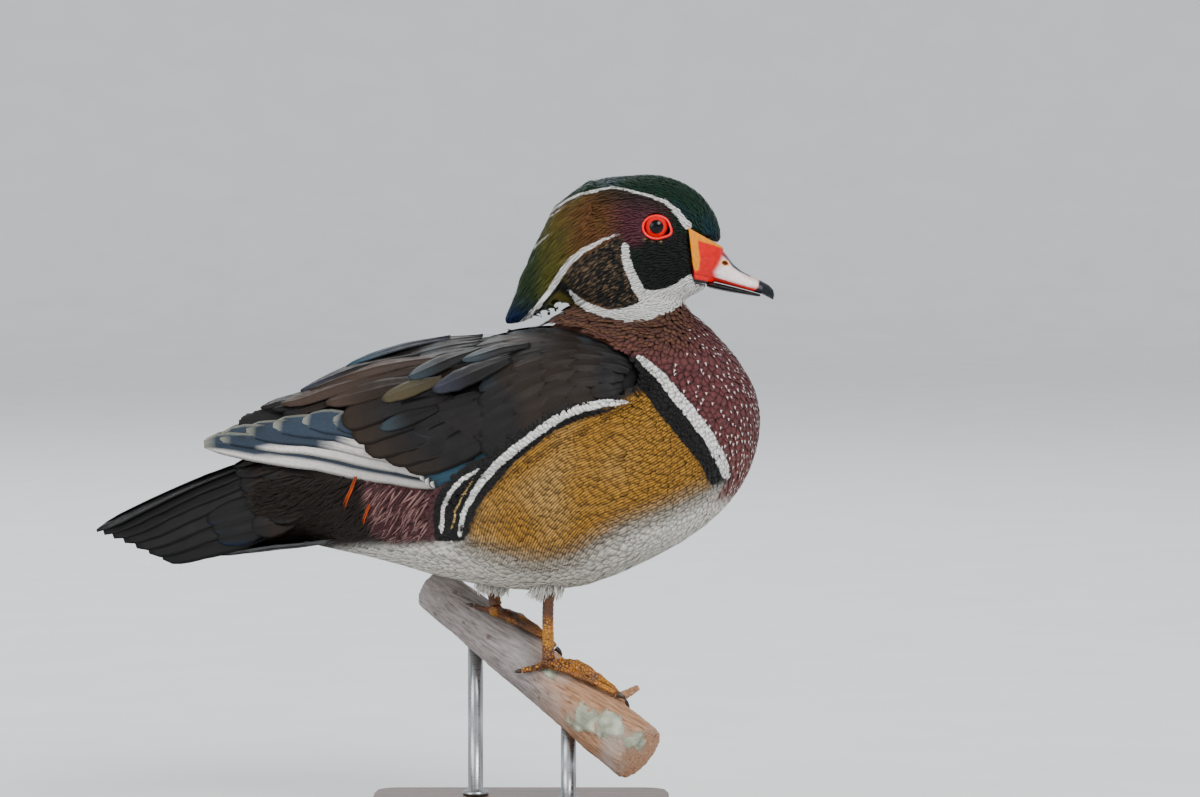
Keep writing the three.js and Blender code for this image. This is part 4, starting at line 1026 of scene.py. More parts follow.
def wing_bed(side):
    run = np.linspace(0.01, 0.9, 44)[:, None]
    place = np.linspace(0, 1, 22)[None]
    outer = wing_surface(place + 0 * run, run + 0 * place, WING_BED)
    thick = station(WING, run[:, 0] * (len(WING) - 1))[:, 6][:, None]
    inner = wing_surface(place + 0 * run, run + 0 * place, thick + 0 * place)
    rings = np.concatenate([outer, inner[:, ::-1]], axis=1)
    rings[..., 1] *= -side
    return closed_loft("wing_bed", rings)


def tail_bed():
    rows = station(TAIL_CORE, np.linspace(0, len(TAIL_CORE) - 1, 24))
    angle = circle(32)
    x, top, bottom, half = (rows[:, i, None] for i in range(4))
    middle = mix(bottom, top, 0.45)
    up = np.where(np.sin(angle) > 0, top - middle, middle - bottom) - TAIL_BED
    y = np.cos(angle) * (half - TAIL_BED)
    return closed_loft("tail_bed", np.stack([x + 0 * y, y, middle + np.sin(angle) * up], -1))


def crest_bed():
    z, x, half, wide = (np.array(CREST_CORE).T[i][:, None] for i in range(4))
    angle = circle(24)
    rings = np.stack([x + half * np.cos(angle), -wide * np.sin(angle), z + 0 * angle], -1)
    return closed_loft("crest_bed", rings)


def crown_bed():
    x, top, wide, tall = (np.array(CROWN_CORE).T[i][:, None] for i in range(4))
    angle = circle(24)
    rings = np.stack([x + 0 * angle, wide * np.cos(angle), top - tall + tall * np.sin(angle)], -1)
    return closed_loft("crown_bed", rings)


def make_form(frame):
    """The skin before it is sunk under the coat, and its shape for the coat to follow."""
    beds = [wing_bed(-1), wing_bed(1), tail_bed(), crest_bed(), crown_bed()]
    parts = [frame["nodes"][name].data for name in FLESH] + [bed.data for bed in beds]
    skin = remeshed(combined("skin", parts), SKIN["voxel"], SKIN["smooth"])
    for bed in beds:
        bpy.data.objects.remove(bed)
    return skin, Form(skin)


def head_part(points):
    """1 on the head and crest and 0 on the neck and body."""
    x, z = points[..., 0], points[..., 2]
    return smooth(-0.8, 0.8, z - level_at(x, NECK_LINE)) * smooth(-14, -11, x)


def paint_skin(points):
    body, head = paint_body(points), paint_head(points)
    share = head_part(points)
    body.lay(share, "black")
    body.colour = mix(body.colour, head.colour, share[..., None])
    body.gloss = mix(body.gloss, head.gloss, share)
    body.lines = body.lines * (1 - share)
    body.white = np.where(share > 0.5, head.white, body.white)
    body.black = np.where(share > 0.5, -FAR, body.black)
    return body


def finish_skin(skin, form, material):
    depth = SKIN["depth"] * mix(1, SKIN["head_share"], head_part(form.points))
    move_points(skin, form.points - form.normals * depth[:, None])
    x, z = side_view(form.points)
    keep_paint(skin.data, [paint_skin(form.points)], to_line(x, z, FLANK_REAR)[0])
    keep_map(skin.data, "Vane", form.points[:, [0, 2]] / MAP_UNIT)
    skin.name = "skin"
    nodes = [*FLESH, "tail", "wing_left", "wing_right"]
    return finished(skin, material, "body_plumage", *nodes)


# Body coat

def near_wing(points):
    place, run = np.meshgrid(np.linspace(0, 1, 60), np.linspace(0, 1, 130))
    tree = tree_of(wing_surface(place, run).reshape(-1, 3))
    flat = points.copy()
    flat[:, 1] = -np.abs(flat[:, 1])
    return np.array([tree.find(p)[2] < WING_REACH for p in flat.tolist()])


def on_body(points):
    """True where body tufts root: not on the head, under the wing, or inside the crest and wing tips."""
    side_x, side_z = side_view(points)
    covered = (side_z > level_at(side_x, WING_EDGE)) & near_wing(points)
    x, z = points[:, 0], points[:, 2]
    inside = np.any([(x < end) & (z > level) for end, level in INSIDE], axis=0)
    return (head_part(points) < 0.5) & ~covered & ~inside & (x > BODY_END)


def eye_room(x, z):
    """How far a side place is from the rim of the eye's ring, less than 0 inside it."""
    dx, dz = x - EYE_SPOT[0], z - EYE_SPOT[1]
    scale = np.hypot(dx / EYE["long"], dz / EYE["tall"])
    return (scale - 1) * np.hypot(dx, dz) / np.maximum(scale, 1e-6)


def on_head(points):
    x, z = points[:, 0], points[:, 2]
    ragged = (x > CREST_GAP["x"][0]) & (x < CREST_GAP["x"][1]) & (z < CREST_GAP["below"])
    return (head_part(points) >= 0.5) & (eye_room(x, z) > 0.2) & ~ragged


def over_wing(points):
    """How far the flank's upper feathers rise, to lie over the wing's lower edge."""
    x, z = side_view(points)
    below = level_at(x, WING_EDGE) - z
    along = smooth(-48, -42, x) * smooth(68, 58, x)
    return OVER_WING * smooth(8.5, 3.5, below) * along


def near_bars(x, z):
    """True near the black and white bars, which are drawn with smaller feathers."""
    near = np.full(x.shape, np.inf)
    for line in (SHOULDER_BAR, FLANK_STRIPE, STRIPE_BLACK, SECOND_STRIPE, CREAM_LINE):
        near = np.minimum(near, to_line(x, z, line)[0])
    return (near < BAR_REACH) | (inside_area(x, z, BAR_BLACK) > -2)


def at_front(x, z):
    """True on the breast and neck."""
    return (x > 60) | (z > 240)


def body_spacing(points):
    x, z = side_view(points)
    gap = np.full(len(points), GAPS["body"])
    gap[at_front(x, z)] = GAPS["front"]
    gap[z > NECK_START] = GAPS["neck"]
    gap[(x < -18) & (z > 150)] = GAPS["rear"]
    gap[near_bars(x, z)] = GAPS["bars"]
    return gap


def head_spacing(points):
    x, z = points[:, 0], points[:, 2]
    gap = np.full(len(points), HEAD_GAPS["head"])
    gap[x < 40] = HEAD_GAPS["crest"]
    gap[(x > 62) & (z < 300)] = HEAD_GAPS["face"]
    return gap


def body_coats(form, material, rng):
    spots = form.scatter(body_spacing, on_body, rng)
    x, z = side_view(spots)
    size = np.tile(TUFTS["body"], (len(spots), 1))
    front, bars = at_front(x, z), near_bars(x, z)
    for kind, chosen in (("front", front), ("neck", z > NECK_START), ("bars", bars)):
        size[chosen] = TUFTS[kind]
    (back, ahead), (low, high) = RUMP["x"], RUMP["z"]
    rump = (x > back) & (x < ahead) & (z > low) & (z < high) & ~bars
    left = spots[:, 1] > 0
    rump_coat(form, spots[rump], material, rng)
    for kind, zone in (("breast", ~rump & front), ("body", ~rump & ~front)):
        for side, part in (("left", zone & left), ("right", zone & ~left)):
            vanes = lay_coat(form, spots[part], *size[part].T, rng, raised=over_wing, **COAT_LOOKS[kind])
            paint = paint_body(jittered(vanes, 0.2, rng))
            shade_vanes(paint, vanes, rng, 0.04, 0.88)
            if kind == "breast":
                fleck_breast(paint, vanes, rng)
            flocks = [(vanes, paint)]
            coat_piece(f"coat_{kind}_{side}", flocks, on_axis(BODY_AXIS), material, "body_plumage")


def rump_coat(form, spots, material, rng):
    """Long hair-like tufts on the rump and the burgundy patch, two at each spot."""
    roots = np.repeat(spots, 2, axis=0) + rng.normal(0, 0.7, (2 * len(spots), 3))
    vanes = lay_coat(form, roots, *TUFTS["rump"], rng, **COAT_LOOKS["rump"])
    paint = paint_body(jittered(vanes, 0.2, rng))
    shade_vanes(paint, vanes, rng, 0.16)
    # Painted sheen: some tufts in the burgundy patch paler
    light = rng.random((vanes.count, 1, 1)) < RUMP["sheen_share"]
    paint.lay(light * in_area(*side_view(vanes.points), RUMP_PATCH, 3) * 0.7, "rump_sheen")
    coat_piece("coat_rump", [(vanes, paint)], on_axis(BODY_AXIS), material, "body_plumage")


def jittered(vanes, amount, rng):
    """The vanes' points with each vane a little off its place, for marks with uneven ends."""
    return vanes.points + rng.normal(0, amount, (vanes.count, 1, 1, 3))


def shade_vanes(paint, vanes, rng, amount, root=0.62):
    """Small differences from feather to feather, and painted shade at the root, under the other vanes."""
    each = rng.normal(1, amount, (vanes.count, 1, 1))
    # Painted shade: each vane darkens towards its root
    depth = mix(root, 1, smooth(0.1, 0.7, vanes.t))
    paint.colour *= (np.clip(each, 0.5, 1.6) * depth)[..., None]


def fleck_breast(paint, vanes, rng):
    """Small white arrow tips, denser towards the front."""
    x, z = side_view(vanes.roots)
    front = smooth(70, 118, x + 0.25 * (230 - z)) * smooth(266, 252, z) * smooth(166, 182, z)
    chosen = rng.random(vanes.count) < FLECK_CHANCE["least"] + FLECK_CHANCE["front"] * front
    chosen &= (in_area(x, z, BREAST, 1) > 0.9) & (to_line(x, z, SHOULDER_BAR)[0] > 5) & (front > 0.02)
    paint.fleck = vanes.t * chosen[:, None, None]


def head_lengths(spots):
    """Tufts from short at the bill to long on the crest, and shorter at white marks, nape and eye."""
    x, z = spots[:, 0], spots[:, 2]
    back = smooth(50, 24, x)
    long = mix(np.where(z < 325, HEAD_LONG["face"], HEAD_LONG["crown"]), HEAD_LONG["crest"], back)
    nape = in_area(x, z, NAPE_BLACK, 3.0) > 0.2
    long = np.where(nape, np.minimum(long, HEAD_LONG["nape"]), long)
    white = paint_head(spots).white > 0
    long = np.where(white, np.minimum(long, HEAD_LONG["white"]), long)
    ahead = (x > EYE_SPOT[0]) & (np.abs(z - EYE_SPOT[1]) < 9)
    at_eye = HEAD_LONG["eye"] + 0.8 * np.maximum(eye_room(x, z), 0)
    return np.where(ahead, np.minimum(long, at_eye), long), mix(HEAD_WIDE["face"], HEAD_WIDE["crest"], back)


def head_coats(form, material, rng):
    spots = form.scatter(head_spacing, on_head, rng)
    long, wide = head_lengths(spots)
    crest = spots[:, 0] < CREST_END
    left = spots[:, 1] > 0
    for kind, zone, rows in (("crest", crest, 6), ("head", ~crest, 4)):
        for side, part in (("left", zone & left), ("right", zone & ~left)):
            vanes = lay_coat(form, spots[part], long[part], wide[part], rng, rows=rows,
                             **COAT_LOOKS["head"])
            paint = paint_head(jittered(vanes, 0.18, rng))
            shade_vanes(paint, vanes, rng, 0.13, 0.75)
            flocks = [(vanes, paint)]
            coat_piece(f"coat_{kind}_{side}", flocks, on_axis(HEAD_AXIS), material, "head_plumage")


# Wing feathers

def wing_places(spots):
    """The (place, run) on the wing of points given in side view."""
    place, run = np.meshgrid(np.linspace(0, 1, 120), np.linspace(0, 1, 300))
    x, z = side_view(wing_surface(place, run))
    found = []
    for sx, sz in spots:
        best = np.argmin((x - sx) ** 2 + (z - sz) ** 2 - 0.5 * place)
        found.append((place.flat[best], run.flat[best]))
    return np.array(found)


def specs_between(roots, tips, width, base, step, rise):
    """Specs of feathers from their roots and tips in side view."""
    starts, ends = wing_places(roots), wing_places(tips)
    heights = base + step * np.arange(len(roots))
    return np.column_stack([starts, ends, np.full(len(roots), width), heights - 0.9, heights + rise])


def paint_plain(vanes, base, gloss, tip=None):
    paint = Paint(vanes.t.shape, base)
    paint.gloss += gloss
    if tip is not None:
        paint.lay(smooth(0.45, 0.95, vanes.t), tip)
    return paint


def paint_primaries(vanes):
    """Blue vanes with a white outer web, short on the upper ones, and a pale rim."""
    paint = Paint(vanes.t.shape, "primary_blue")
    paint.gloss += 0.3
    shade = hashed(vanes.points, 7)
    paint.lay(smooth(0.5, 0.9, shade) * 0.6, "wing_black")
    row = np.arange(vanes.count)[:, None, None]
    end = mix(0.985, 0.56, smooth(0, 2, row))
    low = smooth(0.12, 0.3, vanes.lane - 0.45 * smooth(0.5, 0.95, vanes.t))
    low = low * smooth(0, -0.055, vanes.t - end)
    paint.lay(low, "silver", 0)
    dull = smooth(0.85, 1.0, vanes.lane) * 0.45
    paint.lay(dull * low, "primary_edge")
    rim = np.maximum(smooth(0.86, 0.97, -vanes.lane), smooth(0.972, 0.99, vanes.t))
    paint.lay(rim * 0.75, "primary_edge", 0)
    return paint


def paint_speculum(vanes):
    paint = Paint(vanes.t.shape, "blue")
    paint.gloss += 0.8
    paint.lay(smooth(0.86, 0.9, vanes.t), "black", 0.2)
    paint.lay(smooth(0.94, 0.97, vanes.t), "white", 0)
    return paint


def lowest_place(run, margin):
    """The lowest place on the wing, at some runs, that shows above the flank's feathers."""
    place = np.linspace(0.3, 1, 80)
    spots = wing_surface(place[None] + 0 * run[:, None], run[:, None] + 0 * place[None])
    x, z = side_view(spots)
    hidden = z < level_at(x, WING_EDGE) + margin
    first = np.where(hidden.any(axis=1), hidden.argmax(axis=1), len(place) - 1)
    return place[first]


def run_at(x):
    return np.interp(-x, -WING[:, 0], np.linspace(0, 1, len(WING)))


def row_specs(count, places, root_x, tip_x, width, layer, rng):
    """Specs of a row of coverts, which ends above the flank's feathers."""
    t = np.linspace(0, 1, count)
    start = run_at(mix(root_x[0], root_x[1], t) + rng.normal(0, 1.2, count))
    end = run_at(mix(tip_x[0], tip_x[1], t) + rng.normal(0, 1.2, count))
    root_place = mix(places[0], np.minimum(places[1], lowest_place(start, width * 0.42)), t)
    tip_place = mix(places[0], np.minimum(places[1], lowest_place(end, width * 0.42)), t)
    ends = np.full((count, 3), (width, 0.5 * layer - 0.7, 0.5 * layer + 0.5))
    return np.column_stack([root_place, start, tip_place, end, ends])


def wing_flocks(rng):
    """The wing's vanes from the lowest layer up, each with its paint."""
    flocks = []
    specs = specs_between(PRIMARY_ROOTS, PRIMARY_TIPS, **PRIMARIES)
    vanes = lay_on(wing_surface, specs, rng, **VANE_LOOKS["flight"])
    flocks.append((vanes, paint_primaries(vanes)))
    specs = specs_between(SPECULUM_ROOTS, SPECULUM_TIPS, **SPECULUM)
    vanes = lay_on(wing_surface, specs, rng, **VANE_LOOKS["flight"])
    flocks.append((vanes, paint_speculum(vanes)))
    for row in ROWS_OF_COVERTS:
        vanes = lay_on(wing_surface, row_specs(*row, rng), rng, **VANE_LOOKS["covert"])
        paint = paint_plain(vanes, "wing_black", 0.4)
        warm = smooth(0.4, 0.7, hashed(vanes.points, 22))
        paint.lay(warm * 0.6, "bronze_black")
        # Blue-green higher up the coverts: partly their own gloss, partly a painted reflection
        upper = smooth(0.45, 0.8, hashed(vanes.points + 90, 20)) * smooth(225, 245, vanes.points[..., 2])
        paint.lay(upper * smooth(0.3, 0.9, vanes.t) * 0.8, "blue_green", 0.7)
        flocks.append((vanes, paint))
    specs = specs_between(BLACK_ROOTS, BLACK_TIPS, **BLACKS)
    vanes = lay_on(wing_surface, specs, rng, **VANE_LOOKS["flight"])
    flocks.append((vanes, paint_plain(vanes, "wing_black", 0.3, tip="bronze_black")))
    for i, (root, tip, width, colour, end) in enumerate(ACCENTS):
        base = ACCENT_LAYERS["base"] + ACCENT_LAYERS["step"] * i
        specs = specs_between([root], [tip], width, base, 0.0, ACCENT_LAYERS["rise"])
        vanes = lay_on(wing_surface, specs, rng, **VANE_LOOKS["accent"])
        flocks.append((vanes, paint_plain(vanes, colour, 0.5, tip=end)))
    return flocks


def wing_unwrap(roots):
    """The near wing unwrapped: how far along it, and the angle over the bird's right side."""
    start, end, level = WING_AXIS
    around = np.arctan2(-roots[:, 1], roots[:, 2] - level) / math.pi + 0.5
    along = 0.03 + 0.94 * (roots[:, 0] - start) / (end - start)
    return np.stack([along, 0.03 + 0.94 * np.clip(around, 0, 1)], -1)


def wing_coats(material, rng):
    flocks = wing_flocks(rng)
    for vanes, paint in flocks:
        shade_vanes(paint, vanes, rng, 0.06)
    coat_piece("wing_feathers_right", flocks, wing_unwrap, material, "wing_feathers")
    coat_piece("wing_feathers_left", flocks, wing_unwrap, material, "wing_feathers", True)


# Tail feathers

def under_surface(place, run):
    """The tail's underside: place from -1 to 1 across it, run 0 to 1 to its end."""
    x = mix(*UNDER_REACH, run)
    return np.stack([x, -level_at(x, UNDER_HALF) * place, level_at(x, UNDER_LEVEL) + 3 * place ** 2], -1)


def tail_row(place, runs, width, low, high):
    """Specs of a row of tail feathers: its runs at root and tip, and its heights there."""
    return np.column_stack(np.broadcast_arrays(place, runs[0], place, runs[1], width, low, high))


def tail_coats(material, rng):
    flocks = []
    for side in (-1, 1):
        place = np.linspace(*TAIL_MAIN["places"], TAIL_MAIN["count"])
        height = TAIL_MAIN["height"] - place
        specs = tail_row(side * place, (0, 1), TAIL_MAIN["width"], height - 0.8, height + 0.2)
        vanes = lay_on(tail_surface, specs, rng, **VANE_LOOKS["tail"])
        flocks.append((vanes, paint_plain(vanes, "tail", 0.35)))
        for count, ends, runs, width, height in TAIL_OVER:
            specs = tail_row(side * np.linspace(*ends, count), runs, width, height - 1.4, height)
            vanes = lay_on(tail_surface, specs, rng, **VANE_LOOKS["tail_covert"])
            outer = runs[1] > 0.3
            paint = paint_plain(vanes, "tail" if outer else "tail_base", 0.3, tip="tail")
            # Blue on the outer coverts' outer halves: partly their own gloss, partly a painted highlight
            blue = smooth(0.6, 0.95, vanes.lane * side) * smooth(0.3, 0.8, vanes.t) * outer
            paint.lay(blue, "tail_blue", 0.7)
            flocks.append((vanes, paint))
    for count, half, runs, width, height in TAIL_UNDER:
        specs = tail_row(np.linspace(-half, half, count), runs, width, 0.8 - height, -height)
        vanes = lay_on(under_surface, specs, rng, **VANE_LOOKS["tail_covert"])
        flocks.append((vanes, paint_plain(vanes, "tail", 0.2)))
    for vanes, paint in flocks:
        shade_vanes(paint, vanes, rng, 0.06)
    coat_piece("tail_feathers", flocks, on_axis(TAIL_AXIS), material, "tail_feathers")


# Plumes and down

def hair_piece(name, kind, middle, across, normal, material, rng):
    """Thin tapering vanes along middle lines as one piece."""
    half = kind["half"] * outline_hair(np.linspace(0, 1, kind["rows"]))[None] * np.ones((len(middle), 1))
    vanes = Vanes(middle, across, normal, half, kind["thick"])
    paint = Paint(vanes.t.shape, kind["colour"])
    shade_vanes(paint, vanes, rng, kind["shade"])
    coat_piece(name, [(vanes, paint)], on_axis(BODY_AXIS), material, "body_plumage")


def plumes(form, material, rng):
    """The long orange hairs that fall from the flank's rear over the tail's side."""
    points = []
    steps = np.linspace(0, 1, PLUME["rows"])
    for side in (-1, 1):
        for (rx, rz), (tx, tz) in PLUMES:
            for k in range(PLUME["hairs"]):
                fan = PLUME["fan"] * (k - (PLUME["hairs"] - 1) / 2) * (1 - 0.8 * steps)
                x = mix(rx, tx, steps) + rng.normal(0, 0.4) + fan
                z = mix(rz, tz + rng.uniform(0, 5), steps)
                points.append(np.stack([x, side * PLUME["out"] + 0 * x, z], -1))
    near, normal = form.nearest(np.array(points))
    middle = near + normal * PLUME["lift"]
    across = unit(np.cross(normal, unit(np.gradient(middle, axis=1))))
    hair_piece("plumes", PLUME, middle, across, normal, material, rng)


def thigh_tufts(form, material, rng):
    """White down where each leg leaves the belly."""
    roots, ways = [], []
    for side in ("left", "right"):
        x, y, _ = middle_of("leg_" + side)
        for _ in range(DOWN["count"]):
            a = rng.uniform(0, 2 * math.pi)
            reach = rng.uniform(*DOWN["reach"])
            roots.append((x + reach * math.cos(a), y + reach * math.sin(a), DOWN["level"]))
            ways.append((-0.35 - 0.3 * math.cos(a) * reach / 11, 0.0, -1.0))
    near, normal = form.nearest(np.array(roots))
    way = unit(np.array(ways) + rng.normal(0, 0.3, (len(roots), 3)))
    steps = np.linspace(0, 1, DOWN["rows"])
    long = rng.uniform(*DOWN["long"], len(roots))[:, None, None]
    middle = (near - normal * DOWN["sunk"])[:, None] + way[:, None] * steps[:, None] * long
    along = unit(np.gradient(middle, axis=1))
    across = unit(np.cross(np.repeat(normal[:, None], DOWN["rows"], 1) + 0.01, along))
    hair_piece("thigh_down", DOWN, middle, across, unit(np.cross(along, across)), material, rng)


# Materials

class Nodes:
    """A material's node tree, built by short calls."""

    def __init__(self, name, **plain):
        self.material = bpy.data.materials.new(name)
        self.material.use_nodes = True
        self.tree = self.material.node_tree
        self.shader = self.tree.nodes["Principled BSDF"]
        for socket, value in plain.items():
            self.shader.inputs[socket.replace("_", " ")].default_value = value

    def add(self, kind, inputs=None, **settings):
        made = self.tree.nodes.new("ShaderNode" + kind)
        for key, value in settings.items():
            setattr(made, key, value)
        for socket, value in (inputs or {}).items():
            self.put(made.inputs[socket], value)
        return made

    def put(self, socket, value):
        if isinstance(value, bpy.types.NodeSocket):
            self.tree.links.new(value, socket)
        elif isinstance(value, str):
            socket.default_value = (*tone(value), 1)
        else:
            socket.default_value = value

    def math(self, kind, a, b=0.0):
        return self.add("Math", {0: a, 1: b}, operation=kind).outputs[0]

    def times(self, a, b):
        return self.math("MULTIPLY", a, b)

    def plus(self, a, b):
        return self.math("ADD", a, b)

    def minus(self, a, b):
        return self.math("SUBTRACT", a, b)

    def attribute(self, name, output="Fac"):
        return self.add("Attribute", attribute_name=name).outputs[output]

    def place(self, stretch=(1, 1, 1)):
        where = self.add("TexCoord").outputs["Object"]
        return self.add("Mapping", {"Vector": where, "Scale": stretch}).outputs[0]

    def noise(self, where, scale, detail=3.0, rough=0.5):
        inputs = {"Vector": where, "Scale": scale, "Detail": detail, "Roughness": rough}
        return self.add("TexNoise", inputs).outputs[0]

    def cells(self, where, scale, feature="F1"):
        return self.add("TexVoronoi", {"Vector": where, "Scale": scale}, feature=feature).outputs[0]

    def ramp(self, value, low, high, to_low=0.0, to_high=1.0):
        """A value's range from low to high, moved to another range."""
        inputs = {"Value": value, "From Min": low, "From Max": high, "To Min": to_low, "To Max": to_high}
        return self.add("MapRange", inputs).outputs[0]

    def blend(self, share, a, b, kind="MIX"):
        """Two colours mixed. A Mix node's colours are its inputs 6 and 7 and its output 2."""
        made = self.add("Mix", data_type="RGBA", blend_type=kind)
        self.put(made.inputs[0], share)
        self.put(made.inputs[6], a)
        self.put(made.inputs[7], b)
        return made.outputs[2]

    def bump(self, height, distance, strength=1.0, below=None):
        inputs = {"Height": height, "Distance": distance * MM, "Strength": strength}
        if below is not None:
            inputs["Normal"] = below
        return self.add("Bump", inputs).outputs[0]

    def finish(self, colour, rough, normal=None):
        self.put(self.shader.inputs["Base Color"], colour)
        self.put(self.shader.inputs["Roughness"], rough)
        if normal is not None:
            self.put(self.shader.inputs["Normal"], normal)
        return self.material


def plumage_material(name, rough, barbs, metal, **plain):
    """Feather colour from the paint, with fine lines on the flank, barbs and small differences of gloss."""
    n = Nodes(name, **plain)
    where = n.place()
    grain = n.noise(where, 900.0, 2.0)
    paint = n.blend(1.0, n.attribute("Paint", "Color"), n.ramp(grain, 0.3, 0.7, 0.86, 1.14), "MULTIPLY")
    # Dark wavy lines across the flank, side by side with its rear edge
    ripple = n.times(n.noise(where, 330.0, 1.0), 5.2)
    wide = n.times(n.noise(where, 60.0, 1.0), 9.0)
    phase = n.times(n.attribute("Phase"), 2 * math.pi / LINE_GAP)
    wave = n.math("SINE", n.plus(n.plus(phase, ripple), wide))
    lines = n.times(n.ramp(wave, 0.0, 0.75), n.attribute("Lines"))
    paint = n.blend(n.times(lines, 0.82), paint, "flank_line")
    # Sharp marks, ragged by a fine noise
    ragged = n.times(n.minus(grain, 0.5), 1.1)
    for mark, low, high in (("Black", "050404", "151113"), ("White", "D9D6D2", "FBFAF8")):
        inside = n.ramp(n.plus(n.attribute(mark), ragged), -0.25, 0.25)
        paint = n.blend(inside, paint, n.blend(grain, low, high))
    # Arrow flecks at the vanes' tips
    vane = n.add("SeparateXYZ", {0: n.add("UVMap", uv_map="Vane").outputs[0]})
    aside = n.math("ABSOLUTE", vane.outputs[1])
    fleck = n.attribute("Fleck")
    half = n.times(n.minus(1.02, fleck), 0.32)
    arrow = n.times(n.ramp(fleck, 0.74, 0.8), n.ramp(n.minus(half, aside), -0.008, 0.012))
    paint = n.blend(arrow, paint, "E4DFDA")
    # Barbs, slanting from the shaft, with painted shade between them
    slant = n.minus(vane.outputs[0], n.times(aside, 0.8))
    barb = n.math("SINE", n.plus(n.times(slant, barbs), n.times(grain, 2.5)))
    normal = n.bump(grain, 0.12, 0.35, n.bump(barb, 0.05, 0.5))
    # Painted shade in the gaps between the barbs
    paint = n.blend(n.ramp(barb, -1.0, 1.0, 0.16, 0.0), paint, "000000")
    gloss = n.attribute("Gloss")
    dull = n.ramp(n.noise(where, 120.0, 2.0), 0.3, 0.7, rough - 0.07, rough + 0.1)
    n.put(n.shader.inputs["Metallic"], n.times(gloss, metal))
    return n.finish(paint, n.minus(dull, n.times(gloss, 0.12)), normal)


def eye_material():
    """A black pupil in a red iris with fine rays, dark at its rim, and painted shade under the ring."""
    n = Nodes("eye", Coat_Weight=0.3, Coat_Roughness=0.02, Specular_IOR_Level=0.05)
    x, _, z = n.add("SeparateXYZ", {0: n.add("TexCoord").outputs["Object"]}).outputs
    away = n.math("SQRT", n.plus(n.math("POWER", x, 2.0), n.math("POWER", z, 2.0)))
    turned = {0: n.times(n.math("ARCTAN2", x, z), 6.0), 1: n.times(away, 300.0)}
    rays = n.noise(n.add("CombineXYZ", turned).outputs[0], 3.0)
    iris = n.blend(n.ramp(rays, 0.35, 0.65), "A61408", "CC3020")
    iris = n.blend(n.ramp(away, 4.9 * MM, 5.5 * MM, 0.0, 0.5), iris, "9A1208")
    colour = n.blend(n.ramp(away, 3.5 * MM, 3.65 * MM), "050405", iris)
    # Painted shade on the ball beyond the iris, where it sinks under the ring
    colour = n.blend(n.ramp(away, 5.45 * MM, 5.75 * MM), colour, "2A0505")
    return n.finish(colour, n.ramp(rays, 0.0, 1.0, 0.06, 0.12), n.bump(rays, 0.03, 0.2))


def painted_material(name, rough, grain, height, **plain):
    """Hard parts whose colour is painted on their points, such as the bill."""
    n = Nodes(name, **plain)
    fine = n.noise(n.place(), grain, 4.0)
    colour = n.blend(n.ramp(fine, 0.35, 0.7, 0.0, 0.22), n.attribute("Paint", "Color"), "000000")
    return n.finish(colour, n.ramp(fine, 0.3, 0.7, rough - 0.06, rough + 0.12), n.bump(fine, height, 0.5))


def leg_material():
    n = Nodes("leg_skin", Specular_IOR_Level=0.45, Subsurface_Weight=0.04)
    where = n.place()
    scales = n.cells(where, 620.0, "DISTANCE_TO_EDGE")
    blotch = n.noise(where, 110.0, 3.0)
    yellow = n.blend(n.ramp(blotch, 0.4, 0.62), "A86C14", "BC862C")
    dark = n.blend(n.ramp(blotch, 0.3, 0.7), "2B1A0C", "5A3410")
    shade = n.times(n.ramp(n.noise(where, 60.0, 2.0), 0.36, 0.54), n.ramp(scales, 0.28, 0.08))
    # Dark at the scales' seams and blotches, and with the painted shade kept on the legs
    colour = n.blend(n.math("MAXIMUM", shade, n.attribute("LegShadeAndBlotches")), yellow, dark)
    colour = n.blend(n.ramp(scales, 0.09, 0.0), colour, "2A1608")
    normal = n.bump(n.ramp(scales, 0.0, 0.2), 0.22, 0.8)
    return n.finish(colour, n.ramp(blotch, 0.3, 0.7, 0.36, 0.56), normal)


def claw_material():
    n = Nodes("claw", Specular_IOR_Level=0.5)
    fine = n.noise(n.place((1, 1, 3)), 400.0, 3.0)
    colour = n.blend(n.ramp(fine, 0.3, 0.7), "16110E", "3A2C22")
    return n.finish(colour, n.ramp(fine, 0.3, 0.7, 0.28, 0.45), n.bump(fine, 0.08, 0.5))


def bark_material():
    """Streaked bark, grey at its upper end and tan at its lower end, with lichen and knots."""
    n = Nodes("bark")
    where = n.place()
    along = n.add("Mapping", {"Vector": n.attribute("Along", "Vector"), "Scale": (0.35, 1, 1)}).outputs[0]
    streak = n.noise(along, 0.9, 5.0, 0.62)
    fine = n.noise(where, 700.0, 4.0)
    grey = n.blend(n.ramp(streak, 0.32, 0.68), "625A56", "A39C9A")
    tan = n.blend(n.ramp(streak, 0.32, 0.68), "75553F", "B3917A")
    bark = n.blend(n.ramp(n.add("SeparateXYZ", {0: where}).outputs[0], 0.004, 0.022), grey, tan)
    bark = n.blend(n.ramp(n.noise(where, 38.0, 4.0), 0.46, 0.74, 0.0, 0.7), bark, "A4A09E")
    bark = n.blend(n.ramp(streak, 0.36, 0.26), bark, "3A2A20")
    crust = n.plus(n.attribute("Lichen"), n.times(n.minus(fine, 0.5), 0.5))
    crust = n.ramp(crust, 0.42, 0.56)
    lichen = n.blend(n.ramp(n.cells(where, 210.0, "SMOOTH_F1"), 0.2, 0.6), "B6B8A8", "85897A")
    colour = n.blend(crust, bark, lichen)
    colour = n.blend(n.ramp(n.cells(where, 90.0), 0.16, 0.08, 0.0, 0.6), colour, "4A342A")
    height = n.plus(n.times(streak, 1.6), n.plus(fine, n.times(crust, 0.8)))
    return n.finish(colour, n.ramp(fine, 0.3, 0.7, 0.78, 0.95), n.bump(height, 0.7, 0.8))


